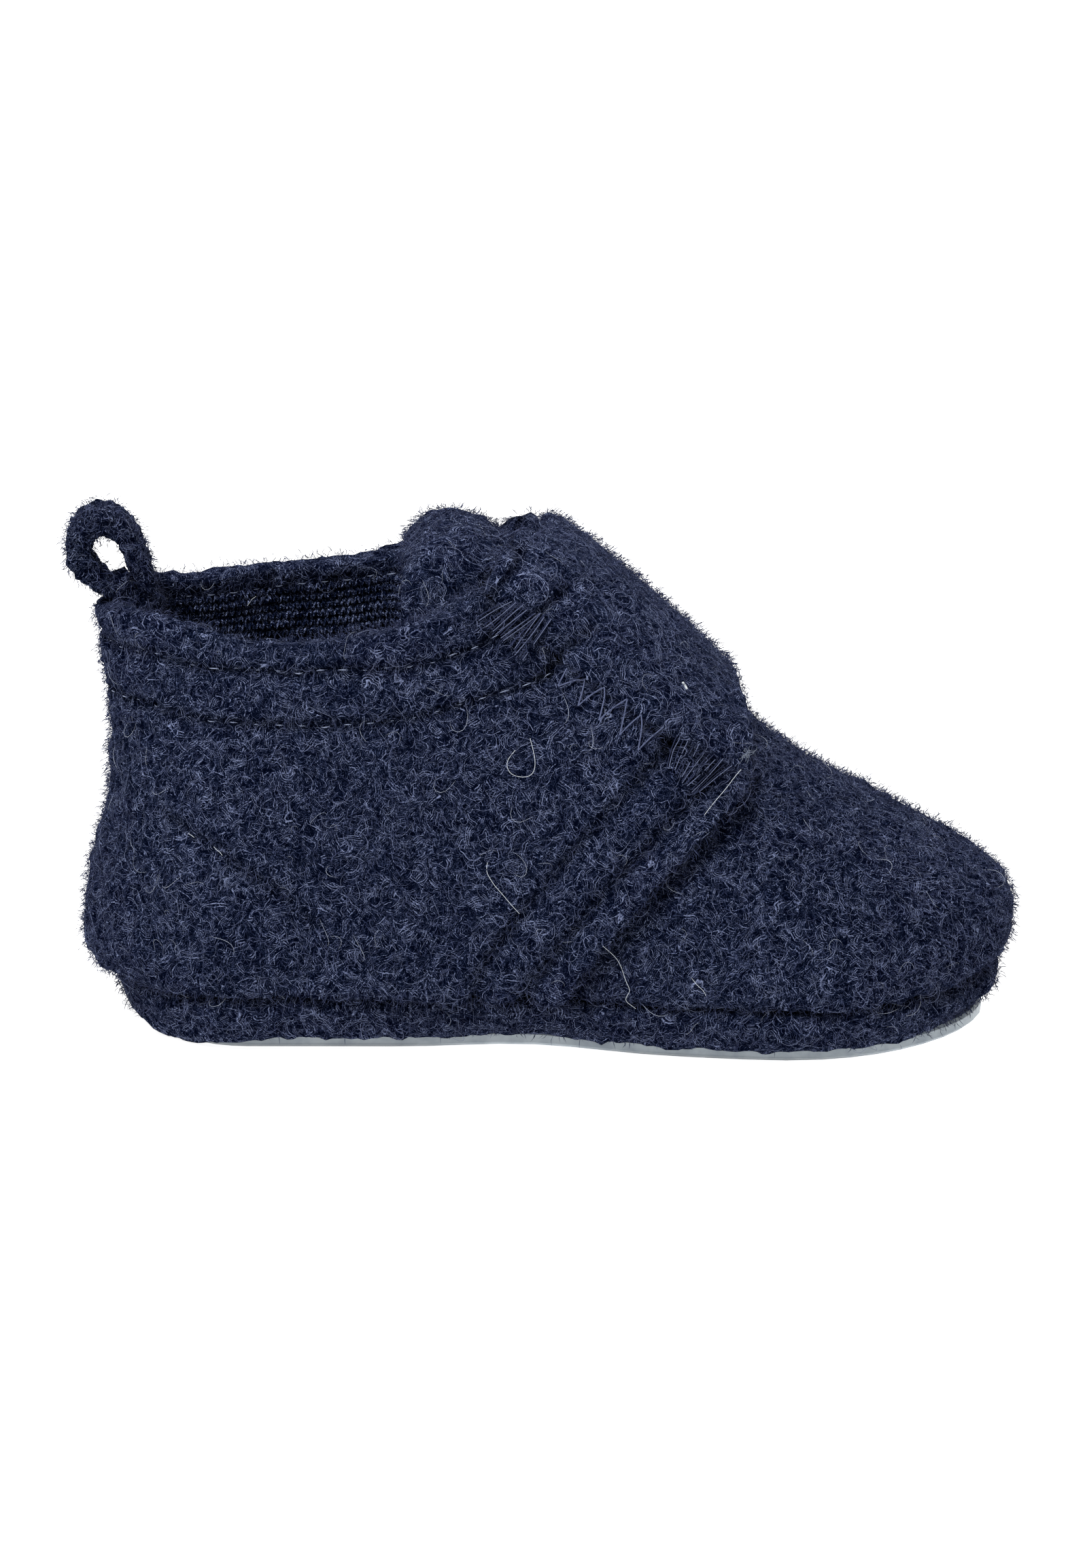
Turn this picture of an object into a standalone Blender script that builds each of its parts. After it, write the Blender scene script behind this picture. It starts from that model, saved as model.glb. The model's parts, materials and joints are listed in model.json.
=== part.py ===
"""Left felt baby bootie: a hollow boiled-wool upper on a felt cup sole with a thin rubber outsole,
a wide instep strap, a tongue and a pull loop at the heel.

+X points to the toe, +Z up, -Y is the inner (medial) side of the foot. Sizes below are millimetres,
measured from the back of the heel and the floor. MM turns them into metres when a mesh is made.
"""

import math
from collections import namedtuple

import bmesh
import bpy
import numpy as np

MM = 0.001

# Driving dimensions of the last
LENGTH = 125.0
BALL_WIDTH = 57.4
INSTEP_HEIGHT = 64.0
HEEL_HEIGHT = 59.2
HEEL_CENTRE = 22.0
TOE_CENTRE = 99.0
TOE_BLUNTNESS = 2.3

# Felt, rubber and the gap between touching pieces
WALL = 3.2
QUARTER_STEP = 2.6
QUARTER_PROUD = 0.4
STRAP_THICK = 3.0
TONGUE_THICK = 2.8
RUBBER_THICK = 1.9
GAP = 0.3

# Heights of the sole seam and of the widest line above it
SEAM_HEIGHT = 8.2
WIDE_HEIGHT = 13.5
UNDERCUT = 0.09
HEEL_UNDERCUT = 4.6
TOE_UNDERCUT = 2.6
HEEL_FADE = 30.0

# Sole: lift of the toe and of the arch, as lengths along the foot and heights
SPRING_START = 92.0
TOE_SPRING = 2.2
ARCH_START = 42.0
ARCH_END = 78.0
ARCH_LIFT = 0.7
SOLE_SIDE_INSET = 1.4
SOLE_HEEL = 4.4
SOLE_TOE = 122.8
RUBBER_INSET = 4.6

# Vamp edge below the strap, and the strap itself
THROAT_X = 82.0
FRONT_CORNER = (89.3, 36.2)
STRAP_RIDGE = (61.4, 85.8)
STRAP_END = (58.0, 81.5)
STRAP_OVERLAP = 13.0

FELT_NAVY = (0.021, 0.026, 0.058, 1.0)
RUBBER_GREY = (0.36, 0.42, 0.45, 1.0)

# x, half widths and crown height as shares of length, half the ball width and the instep height.
# middle is the sideways shift of the section, square tells a round section from a boxy one, and
# taper is the share of its width that the section has lost at collar height.
Station = namedtuple("Station", "x medial lateral middle crown square taper")
LAST = (
    Station(0.000, 0.777, 0.777, 0.0, 1.190, 6.0, 0.18),
    Station(0.096, 0.784, 0.787, 0.0, 1.190, 6.0, 0.32),
    Station(0.192, 0.787, 0.794, 0.0, 1.190, 6.0, 0.24),
    Station(0.280, 0.788, 0.806, 0.0, 1.186, 5.4, 0.09),
    Station(0.368, 0.794, 0.829, 0.0, 1.172, 4.4, 0.01),
    Station(0.432, 0.815, 0.871, 0.0, 1.110, 3.4, 0.00),
    Station(0.500, 0.850, 0.915, 0.0, 1.000, 3.0, 0.00),
    Station(0.568, 0.892, 0.955, -0.2, 0.886, 2.6, 0.00),
    Station(0.696, 0.976, 1.024, -0.8, 0.662, 2.2, 0.00),
    Station(0.760, 0.983, 1.010, -1.4, 0.572, 2.1, 0.00),
    Station(0.840, 0.934, 0.948, -2.0, 0.486, 2.1, 0.00),
    Station(0.920, 0.870, 0.870, -2.4, 0.411, 2.1, 0.00),
    Station(1.000, 0.800, 0.800, -2.6, 0.367, 2.1, 0.00),
)

# Forward lean of the heel's back line at each height
HeelLine = namedtuple("HeelLine", "z forward")
HEEL_LINE = (
    HeelLine(0.0, 0.2),
    HeelLine(13.0, 0.0),
    HeelLine(23.0, 1.7),
    HeelLine(33.0, 3.8),
    HeelLine(44.0, 3.7),
    HeelLine(57.0, 2.0),
    HeelLine(80.0, 1.4),
)

# Collar edge seen from the side
Collar = namedtuple("Collar", "x z")
COLLAR = (
    Collar(-12.0, HEEL_HEIGHT),
    Collar(8.0, HEEL_HEIGHT),
    Collar(22.0, HEEL_HEIGHT - 0.4),
    Collar(36.0, HEEL_HEIGHT - 1.2),
    Collar(47.0, HEEL_HEIGHT + 1.6),
    Collar(53.0, HEEL_HEIGHT + 5.2),
)

# Line where the strap joins the quarter, and the quarter's front edge, as three Bezier points each
STRAP_SEAM = ((53.0, HEEL_HEIGHT + 5.2), (68.0, 46.5), FRONT_CORNER)
FRONT_EDGE = ((64.7, SEAM_HEIGHT), (76.0, 25.5), FRONT_CORNER)

# Height of the strap's underside over the vamp's skin, across the strap from its sewn edge (0) to its
# free end (1), along its back edge and along its front edge
StrapLift = namedtuple("StrapLift", "across back front")
STRAP_LIFT = (
    StrapLift(0.00, 0.35, 0.35),
    StrapLift(0.20, -0.30, 0.45),
    StrapLift(0.45, -0.60, 0.70),
    StrapLift(0.60, 0.70, 1.50),
    StrapLift(0.74, QUARTER_STEP + 0.35, QUARTER_STEP + 0.35),
    StrapLift(1.00, QUARTER_STEP + 0.40, QUARTER_STEP + 0.40),
)

# Tongue: crown height along its length
Crest = namedtuple("Crest", "x crown")
TONGUE = (
    Crest(42.5, 64.6),
    Crest(44.5, 67.2),
    Crest(48.0, 68.7),
    Crest(52.0, 68.4),
    Crest(56.0, 66.2),
    Crest(62.0, 61.2),
    Crest(71.0, 53.6),
    Crest(78.0, 45.8),
    Crest(82.0, 41.0),
    Crest(88.0, 35.6),
)
TONGUE_SIDE_INSET = 5.6
TONGUE_HANG = 12.0

# Felt sole from its bottom round the rolled rim to its floor: inset from the outline, height
Ring = namedtuple("Ring", "inset z")
FELT_SOLE = (
    Ring(6.2, 2.2),
    Ring(4.2, 2.3),
    Ring(2.3, 2.9),
    Ring(0.9, 4.0),
    Ring(0.1, 5.4),
    Ring(0.2, 6.7),
    Ring(1.1, 7.7),
    Ring(3.0, 7.9),
    Ring(3.7, 7.0),
    Ring(4.2, 5.6),
    Ring(6.0, 5.2),
)
OUTSOLE = (
    Ring(0.5, 0.0),
    Ring(0.0, 0.4),
    Ring(0.0, RUBBER_THICK - 0.4),
    Ring(0.4, RUBBER_THICK),
)

# Pull loop seen from the side: a leaning eye over a tab sewn inside the collar
LOOP_WIDTH = 7.5
LOOP_ROUND = 0.9
LOOP_OUTER = (
    (8.0, 52.6), (7.4, 57.0), (6.2, 60.0), (1.8, 61.5), (-1.4, 63.5), (-2.0, 66.8),
    (0.6, 69.8), (4.4, 69.9), (7.4, 66.8), (9.4, 62.2), (10.6, 57.6), (11.4, 52.4),
)
LOOP_EYE = ((6.7, 61.4), (4.1, 63.0), (1.4, 65.0), (2.3, 66.9), (4.6, 66.3), (6.1, 64.0))


def along(rows, column, x):
    """Smooth curve through one column of a table, against its first column."""
    knots = np.array([row[0] for row in rows], float)
    values = np.array([getattr(row, column) for row in rows], float)
    slopes = np.gradient(values, knots)
    x = np.clip(np.asarray(x, float), knots[0], knots[-1])
    i = np.clip(np.searchsorted(knots, x) - 1, 0, len(knots) - 2)
    span = knots[i + 1] - knots[i]
    t = (x - knots[i]) / span
    return (
        values[i] * (1 + 2 * t) * (1 - t) ** 2
        + slopes[i] * span * t * (1 - t) ** 2
        + values[i + 1] * t * t * (3 - 2 * t)
        + slopes[i + 1] * span * t * t * (t - 1)
    )


def bezier(points, count):
    """Evenly spaced parameters on a three-point Bezier curve."""
    t = np.linspace(0, 1, count)[:, None]
    a, b, c = (np.array(p, float) for p in points)
    return a * (1 - t) ** 2 + b * 2 * t * (1 - t) + c * t * t


def lift(x):
    """Height of the sole's underside: flat heel, low arch, flat ball, toe spring."""
    x = np.asarray(x, float)
    arch = np.clip((x - ARCH_START) / (ARCH_END - ARCH_START), 0, 1)
    toe = np.clip((x - SPRING_START) / (LENGTH - SPRING_START), 0, None)
    return ARCH_LIFT * np.sin(math.pi * arch) ** 2 + TOE_SPRING * toe**2


def end_round(x, heel, toe):
    """Share of the full half width left at x, with a round heel and a blunt toe."""
    back = np.clip((HEEL_CENTRE - x) / (HEEL_CENTRE - heel), 0, 1)
    front = np.clip((x - TOE_CENTRE) / (toe - TOE_CENTRE), 0, 1)
    return np.sqrt(1 - back**2) * (1 - front**TOE_BLUNTNESS) ** (1 / TOE_BLUNTNESS)


def stations(heel, toe, counts, ends):
    """Lengths along the foot: even angles round heel and toe, even steps between."""
    at_heel, between, at_toe = counts
    turn = np.linspace(ends, math.pi / 2, at_heel)
    back = HEEL_CENTRE - (HEEL_CENTRE - heel) * np.cos(turn)
    front = TOE_CENTRE + (toe - TOE_CENTRE) * np.cos(turn_to_toe(at_toe, ends))
    middle = np.linspace(HEEL_CENTRE, TOE_CENTRE, between + 2)[1:-1]
    return np.concatenate([back, middle, front])


def turn_to_toe(count, ends):
    return np.linspace(math.pi / 2, ends, count)


def half_section(x, column):
    """One side of the last's section at x, from the sole seam up to the crown: (out, z) rows."""
    share = x / LENGTH
    half = along(LAST, column, share) * BALL_WIDTH / 2 * end_round(x, 0.0, LENGTH)
    low = SEAM_HEIGHT + lift(x)
    wide = WIDE_HEIGHT + lift(x)
    nose = np.clip((x - 108.0) / (LENGTH - 108.0), 0, 1)
    top = wide + (along(LAST, "crown", share) * INSTEP_HEIGHT - wide) * (1 - nose**2.6) ** (1 / 2.6)
    power = 2 / along(LAST, "square", share)
    under = np.linspace(0, math.pi / 2, 20)
    over = np.linspace(0, math.pi / 2, 160)[1:]
    out = np.concatenate([half * (1 - UNDERCUT * (1 - np.sin(under))), half * np.cos(over) ** power])
    z = np.concatenate([wide - (wide - low) * np.cos(under), wide + (top - wide) * np.sin(over) ** power])
    rise = np.clip((z - wide) / (HEEL_HEIGHT - wide), 0, 1.2)
    out *= 1 - along(LAST, "taper", share) * rise**1.4
    out[-1] = 0.0
    return np.column_stack([out, z])


def skin(x, shares):
    """Points of the vamp's outer skin at x. Share 0 is the medial seam, 0.5 the crown, 1 the lateral seam."""
    middle = along(LAST, "middle", x / LENGTH)
    points = np.zeros((len(shares), 3))
    for side, column, chosen in ((-1, "medial", shares <= 0.5), (1, "lateral", shares > 0.5)):
        curve = half_section(x, column)
        run = np.concatenate([[0], np.cumsum(np.hypot(*np.diff(curve, axis=0).T))])
        part = np.where(shares <= 0.5, shares, 1 - shares)[chosen] * 2 * run[-1]
        points[chosen, 1] = middle + side * np.interp(part, run, curve[:, 0])
        points[chosen, 2] = np.interp(part, run, curve[:, 1])
    points[:, 0] = x + end_lean(x, points[:, 2])
    return points


def end_lean(x, z):
    """Forward shift of the heel's back line and undercut of heel and toe below the widest line."""
    wide = WIDE_HEIGHT + lift(x)
    below = np.clip((wide - z) / (WIDE_HEIGHT - SEAM_HEIGHT), 0, 1)
    tuck = 1 - np.sqrt(1 - below**2)
    back = math.cos(min(x / HEEL_FADE, 1) * math.pi / 2) ** 2
    front = math.cos(min((LENGTH - x) / HEEL_FADE, 1) * math.pi / 2) ** 2
    heel = along(HEEL_LINE, "forward", z) + HEEL_UNDERCUT * tuck
    return heel * back - TOE_UNDERCUT * tuck * front


def share_at_height(x, z, side):
    """Share at which the skin reaches a height, on the medial (-1) or lateral (1) side."""
    shares = np.linspace(0.02, 0.5, 240)
    heights = skin(x, shares if side < 0 else 1 - shares)[:, 2]
    share = np.interp(z, heights, shares)
    return share if side < 0 else 1 - share


def normals(grid):
    """Outward unit normals of a grid of points, level where the skin turns under to the sole seam."""
    across = np.cross(np.gradient(grid, axis=0), np.gradient(grid, axis=1))
    across[..., 2] = np.maximum(across[..., 2], 0)
    return across / np.linalg.norm(across, axis=2, keepdims=True)


def raised(grid, height):
    """The grid moved out along its normals by a height, which may differ from point to point."""
    return grid + normals(grid) * np.broadcast_to(height, grid.shape[:2])[..., None]


def new_object(name, points, faces, material=None):
    """Mesh object from points in millimetres, with its faces turned outwards."""
    mesh = bpy.data.meshes.new(name)
    made = bmesh.new()
    corners = [made.verts.new(np.asarray(p, float) * MM) for p in points]
    for face in faces:
        made.faces.new([corners[k] for k in face])
    bmesh.ops.recalc_face_normals(made, faces=made.faces)
    made.to_mesh(mesh)
    made.free()
    mesh.shade_smooth()
    mesh.set_sharp_from_angle(angle=math.radians(40))
    thing = bpy.data.objects.new(name, mesh)
    bpy.context.scene.collection.objects.link(thing)
    if material:
        mesh.materials.append(material)
    return thing


def grid_faces(rows, columns, start=0):
    """Quads of a grid of points stored row by row."""
    return [
        (start + i * columns + j, start + i * columns + j + 1, start + (i + 1) * columns + j + 1, start + (i + 1) * columns + j)
        for i in range(rows - 1)
        for j in range(columns - 1)
    ]


def closed_form(name, grid):
    """Solid of a last: its skin closed below and at heel and toe."""
    rows, columns, _ = grid.shape
    faces = grid_faces(rows, columns)
    for i in range(rows - 1):
        faces.append((i * columns, (i + 1) * columns, (i + 2) * columns - 1, (i + 1) * columns - 1))
    for first in (0, (rows - 1) * columns):
        for j in range(columns // 2):
            a, b = first + j, first + columns - 1 - j
            faces.append((a, a + 1, b - 1, b) if a + 1 < b - 1 else (a, a + 1, b))
    return new_object(name, grid.reshape(-1, 3), faces)


def closed_sheet(name, outer, inner, material):
    """Solid between two grids of the same shape."""
    rows, columns, _ = outer.shape
    size = rows * columns
    faces = grid_faces(rows, columns) + grid_faces(rows, columns, size)
    rim = [j for j in range(columns)]
    rim += [i * columns + columns - 1 for i in range(1, rows)]
    rim += [(rows - 1) * columns + j for j in range(columns - 2, -1, -1)]
    rim += [i * columns for i in range(rows - 2, 0, -1)]
    for a, b in zip(rim, rim[1:] + rim[:1]):
        faces.append((a, b, b + size, a + size))
    return new_object(name, np.concatenate([outer.reshape(-1, 3), inner.reshape(-1, 3)]), faces, material)


def prism(name, outline, half_depth):
    """A side-view outline carried through the foot from one side to the other."""
    outline = [tuple(p) for p in outline]
    count = len(outline)
    points = [(x, y, z) for y in (-half_depth, half_depth) for x, z in outline]
    faces = [tuple(range(count)), tuple(range(2 * count - 1, count - 1, -1))]
    faces += [(k, (k + 1) % count, (k + 1) % count + count, k + count) for k in range(count)]
    return new_object(name, points, faces)


def last_grid(counts, columns):
    """The vamp's outer skin as a grid from heel to toe."""
    rise = np.linspace(0, 1, columns // 2 + 1) ** 1.5 / 2
    shares = np.concatenate([rise, 1 - rise[-2::-1]])
    return np.array([skin(x, shares) for x in stations(0.0, LENGTH, counts, math.radians(7))])


def carried_down(grid, drop):
    """The grid with its two seam edges carried straight down, so that a cut below them is clean."""
    first, last = grid[:, :1].copy(), grid[:, -1:].copy()
    first[..., 2] -= drop
    last[..., 2] -= drop
    return np.concatenate([first, grid, last], axis=1)


def guide(thing):
    """Marks a cutter, which is not a piece of the bootie."""
    thing.hide_render = True
    thing.display_type = "WIRE"
    return thing


def boolean(thing, operation, other):
    modifier = thing.modifiers.new(operation.lower() + "_" + other.name, "BOOLEAN")
    modifier.operation = operation
    modifier.object = other
    modifier.solver = "EXACT"


def edge_distance(points):
    """Distance from each point to the quarter's front edge and strap seam, seen from the side."""
    edge = np.concatenate([bezier(FRONT_EDGE, 24), bezier(STRAP_SEAM, 24)])
    gaps = points[..., None, [0, 2]] - edge
    return np.sqrt((gaps**2).sum(axis=-1)).min(axis=-1)


def quarter_height(points):
    """How far the quarter stands over the vamp: full beside its edge, fading towards the heel."""
    fade = np.clip((edge_distance(points) - 13.0) / 24.0, 0, 1)
    return QUARTER_PROUD + (QUARTER_STEP - QUARTER_PROUD) * (1 - fade * fade * (3 - 2 * fade))


def collar_line(count):
    x = np.linspace(COLLAR[0].x, COLLAR[-1].x, count)
    return np.column_stack([x, along(COLLAR, "z", x)])


def make_upper(material):
    """Vamp and quarters as one hollow wall: raised quarter, open collar, throat and underside."""
    skin_grid = last_grid((8, 17, 9), 33)
    upper = closed_form("upper", carried_down(skin_grid, 3.0))
    upper.data.materials.append(material)

    quarter = guide(closed_form("quarter_form", carried_down(raised(skin_grid, quarter_height(skin_grid)), 4.0)))
    front = bezier(FRONT_EDGE, 9)
    seam = bezier(STRAP_SEAM, 9)[::-1]
    outline = [(-20, -10), (front[0][0] - 9, -10), *front, *seam[1:], (seam[-1][0], 100), (-20, 100)]
    boolean(quarter, "INTERSECT", guide(prism("quarter_outline", outline, 70)))
    boolean(upper, "UNION", quarter)

    inner_grid = raised(last_grid((7, 14, 8), 27), -WALL)
    boolean(upper, "DIFFERENCE", guide(closed_form("foot_form", carried_down(inner_grid, 6.0))))

    collar = collar_line(15)
    throat = [p for p in bezier(STRAP_SEAM, 9)[1:] if p[0] < THROAT_X - 1]
    throat_end = np.interp(THROAT_X, *bezier(STRAP_SEAM, 60).T)
    opening = [*collar, *throat, (THROAT_X, throat_end), (THROAT_X, 100), (COLLAR[0].x, 100)]
    boolean(upper, "DIFFERENCE", guide(prism("collar_and_throat", opening, 60)))

    x = np.linspace(-20, LENGTH + 20, 41)
    floor_line = [*np.column_stack([x, SEAM_HEIGHT + lift(np.minimum(x, LENGTH))]), (x[-1], -30), (x[0], -30)]
    boolean(upper, "DIFFERENCE", guide(prism("sole_seam_cut", floor_line, 80)))
    return upper


def make_strap(material):
    """Instep strap: butted to the medial quarter, over the crown, lapped on the lateral quarter."""
    seam = bezier(STRAP_SEAM, 9)
    rows, columns = 12, 21
    base = np.zeros((rows, columns, 3))
    under = np.zeros((rows, columns))
    for i, r in enumerate(np.linspace(0, 1, rows)):
        for j, c in enumerate(np.linspace(0, 1, columns)):
            x = strap_length(r, c)
            near = share_at_height(x, np.interp(x, *seam.T) + GAP + 0.1, -1)
            far = share_at_height(x, np.interp(x, *seam.T) - STRAP_OVERLAP, 1)
            base[i, j] = skin(x, np.array([near + (far - near) * c]))[0]
            under[i, j] = (1 - r) * along(STRAP_LIFT, "back", c) + r * along(STRAP_LIFT, "front", c)
    thick = np.interp(np.linspace(0, 1, columns), (0, 0.12, 1), (QUARTER_STEP - 0.4, STRAP_THICK, STRAP_THICK))
    inner = raised(base, under)
    outer = raised(base, under + thick)
    return closed_sheet("strap", outer, inner, material)


def strap_length(r, c):
    """Length along the foot at share r from the strap's back to its front edge, share c across it."""
    ridge = np.interp(c, (0, 0.45, 1), (0, 1, 2))
    back = np.interp(ridge, (0, 0.5, 1, 2), (53.3, 56.4, STRAP_RIDGE[0], STRAP_END[0]))
    front = np.interp(ridge, (0, 1, 2), (FRONT_CORNER[0] - 0.3, STRAP_RIDGE[1], STRAP_END[1]))
    corner = np.clip((c - 0.8) / 0.2, 0, 1)
    tuck = 7.0 * (1 - math.sqrt(1 - 0.96 * corner**2))
    return back + tuck + (front - back - 2 * tuck) * r


def make_tongue(material):
    """Tongue: an arched leaf under the strap, its foot below the vamp's throat edge."""
    rows, columns = 15, 17
    outer = np.zeros((rows, columns, 3))
    for i, x in enumerate(np.linspace(TONGUE[0].x, TONGUE[-1].x, rows)):
        outer[i] = tongue_section(x, columns)
    return closed_sheet("tongue", outer, raised(outer, -TONGUE_THICK), material)


def tongue_section(x, count):
    """Arch of the tongue at x, from its medial to its lateral edge."""
    crown = along(TONGUE, "crown", x)
    power = 2 / along(LAST, "square", x / LENGTH)
    wide = WIDE_HEIGHT + lift(x)
    middle = along(LAST, "middle", x / LENGTH)
    low = min(np.interp(x, *collar_line(30).T), np.interp(x, *bezier(STRAP_SEAM, 60).T)) - TONGUE_HANG
    turn = np.linspace(0.02, math.pi / 2, 200)
    z = wide + (crown - wide) * np.sin(turn) ** power
    points = []
    for side, column in ((-1, "medial"), (1, "lateral")):
        half = along(LAST, column, x / LENGTH) * BALL_WIDTH / 2 - TONGUE_SIDE_INSET
        curve = np.column_stack([middle + side * half * np.cos(turn) ** power, z])[z > low]
        run = np.concatenate([[0], np.cumsum(np.hypot(*np.diff(curve, axis=0).T))])
        part = np.linspace(0, run[-1], count // 2 + 1)
        points.append(np.column_stack([np.full(len(part), x)] + [np.interp(part, run, curve[:, k]) for k in (0, 1)]))
    points[0][-1, 1] = middle
    return np.concatenate([points[0], points[1][-2::-1]])


def sole_ring(heel, toe, inset, z):
    """Closed outline of a sole at a side inset: medial side to the toe, then back along the lateral side."""
    x = stations(heel, toe, (10, 15, 10), 0.0)
    middle = along(LAST, "middle", x / LENGTH)
    full = end_round(x, heel, toe)
    medial, lateral = (
        middle + side * full * (along(LAST, column, x / LENGTH) * BALL_WIDTH / 2 - inset)
        for side, column in ((-1, "medial"), (1, "lateral"))
    )
    height = z + lift(x)
    there = np.column_stack([x, medial, height])
    back = np.column_stack([x, lateral, height])[-2:0:-1]
    return np.concatenate([there, back])


def make_sole(name, rings, heel, toe, side_inset, material):
    """Solid of revolution-like rings round the sole's outline, closed across at both ends of the list."""
    loops = [sole_ring(heel + r.inset, toe - r.inset, side_inset + r.inset, r.z) for r in rings]
    size = len(loops[0])
    faces = []
    for k in range(len(loops) - 1):
        for i in range(size):
            n = (i + 1) % size
            faces.append((k * size + i, k * size + n, (k + 1) * size + n, (k + 1) * size + i))
    for first in (0, (len(loops) - 1) * size):
        for i in range(size // 2):
            a, b, c, d = i, i + 1, size - i - 1, (size - i) % size
            faces.append(tuple(first + k for k in dict.fromkeys((a, b, c, d))))
    return new_object(name, np.concatenate(loops), faces, material)


def closed_curve(points, steps):
    """Smooth closed outline through the given points."""
    p = np.array(points, float)
    before, after, next_after = np.roll(p, 1, axis=0), np.roll(p, -1, axis=0), np.roll(p, -2, axis=0)
    rows = []
    for t in np.arange(steps) / steps:
        enter, leave = (after - before) / 2, (next_after - p) / 2
        rows.append(
            p * (1 + 2 * t) * (1 - t) ** 2 + enter * t * (1 - t) ** 2 + after * t * t * (3 - 2 * t) + leave * t * t * (t - 1)
        )
    return np.array(rows).transpose(1, 0, 2).reshape(-1, 2)


def make_pull_loop(material):
    """Folded felt band: eye above the collar and tab down its inside, as one flat outline with width."""
    loop = prism("pull_loop", closed_curve(LOOP_OUTER, 3), LOOP_WIDTH / 2)
    loop.data.materials.append(material)
    boolean(loop, "DIFFERENCE", guide(prism("loop_eye", closed_curve(LOOP_EYE, 3), LOOP_WIDTH)))
    bevel = loop.modifiers.new("soft_edges", "BEVEL")
    bevel.width = LOOP_ROUND * MM
    bevel.segments = 2
    bevel.limit_method = "ANGLE"
    bevel.angle_limit = math.radians(60)
    return loop


def make_material(name, colour, roughness):
    material = bpy.data.materials.new(name)
    material.use_nodes = True
    shader = material.node_tree.nodes["Principled BSDF"]
    shader.inputs["Base Color"].default_value = colour
    shader.inputs["Roughness"].default_value = roughness
    shader.inputs["Metallic"].default_value = 0.0
    return material


def centre_over_origin(pieces):
    """Hangs the pieces on an empty that puts the middle of their footprint over the origin."""
    root = bpy.data.objects.new("bootie", None)
    for thing in bpy.data.objects:
        if thing != root:
            thing.parent = root
    bpy.context.scene.collection.objects.link(root)
    bpy.context.view_layer.update()
    graph = bpy.context.evaluated_depsgraph_get()
    corners = []
    for piece in pieces:
        solid = piece.evaluated_get(graph).to_mesh()
        corners += [piece.matrix_world @ v.co for v in solid.vertices]
    spread = np.array(corners)
    low, high = spread.min(axis=0), spread.max(axis=0)
    root.location = (-(low[0] + high[0]) / 2, -(low[1] + high[1]) / 2, -low[2])


def main():
    for thing in list(bpy.data.objects):
        bpy.data.objects.remove(thing)
    felt = make_material("boiled_wool_navy", FELT_NAVY, 0.95)
    rubber = make_material("rubber_grey", RUBBER_GREY, 0.5)
    pieces = [
        make_sole("outsole", OUTSOLE, SOLE_HEEL + RUBBER_INSET, SOLE_TOE - 2.0, SOLE_SIDE_INSET + RUBBER_INSET, rubber),
        make_sole("felt_sole", FELT_SOLE, SOLE_HEEL, SOLE_TOE, SOLE_SIDE_INSET, felt),
        make_upper(felt),
        make_tongue(felt),
        make_strap(felt),
        make_pull_loop(felt),
    ]
    centre_over_origin(pieces)


main()
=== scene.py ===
import json
import math

import bmesh
import bpy
import numpy as np
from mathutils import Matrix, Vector, noise
from mathutils.bvhtree import BVHTree

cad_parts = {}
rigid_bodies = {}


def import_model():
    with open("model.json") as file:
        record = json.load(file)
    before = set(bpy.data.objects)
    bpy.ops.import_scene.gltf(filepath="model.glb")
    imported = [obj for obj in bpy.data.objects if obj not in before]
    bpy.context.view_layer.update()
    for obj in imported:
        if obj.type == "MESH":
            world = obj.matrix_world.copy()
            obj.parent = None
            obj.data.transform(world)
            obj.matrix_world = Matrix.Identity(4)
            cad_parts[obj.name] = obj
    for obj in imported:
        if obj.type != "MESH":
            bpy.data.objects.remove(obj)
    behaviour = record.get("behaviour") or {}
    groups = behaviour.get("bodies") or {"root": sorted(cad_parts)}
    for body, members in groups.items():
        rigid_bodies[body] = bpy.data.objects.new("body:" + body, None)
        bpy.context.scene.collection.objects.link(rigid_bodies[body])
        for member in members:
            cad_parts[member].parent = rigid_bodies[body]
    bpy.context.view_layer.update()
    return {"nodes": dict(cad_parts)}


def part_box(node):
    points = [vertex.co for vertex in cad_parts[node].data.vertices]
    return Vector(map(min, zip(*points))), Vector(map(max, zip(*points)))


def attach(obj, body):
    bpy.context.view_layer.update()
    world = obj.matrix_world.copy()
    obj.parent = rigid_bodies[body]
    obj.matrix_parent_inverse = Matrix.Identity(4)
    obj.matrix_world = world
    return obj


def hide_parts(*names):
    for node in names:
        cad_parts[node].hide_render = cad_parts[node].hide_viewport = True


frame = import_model()
mm = 0.001

# The last's own millimetres run from the back of the heel, the middle of the foot and the floor.
soleBack = 9.0 * mm  # how far in front of the heel's back the outsole starts
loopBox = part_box("pull_loop")
lastOrigin = Vector((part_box("outsole")[0][0] - soleBack, (loopBox[0][1] + loopBox[1][1]) / 2, 0))

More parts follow.
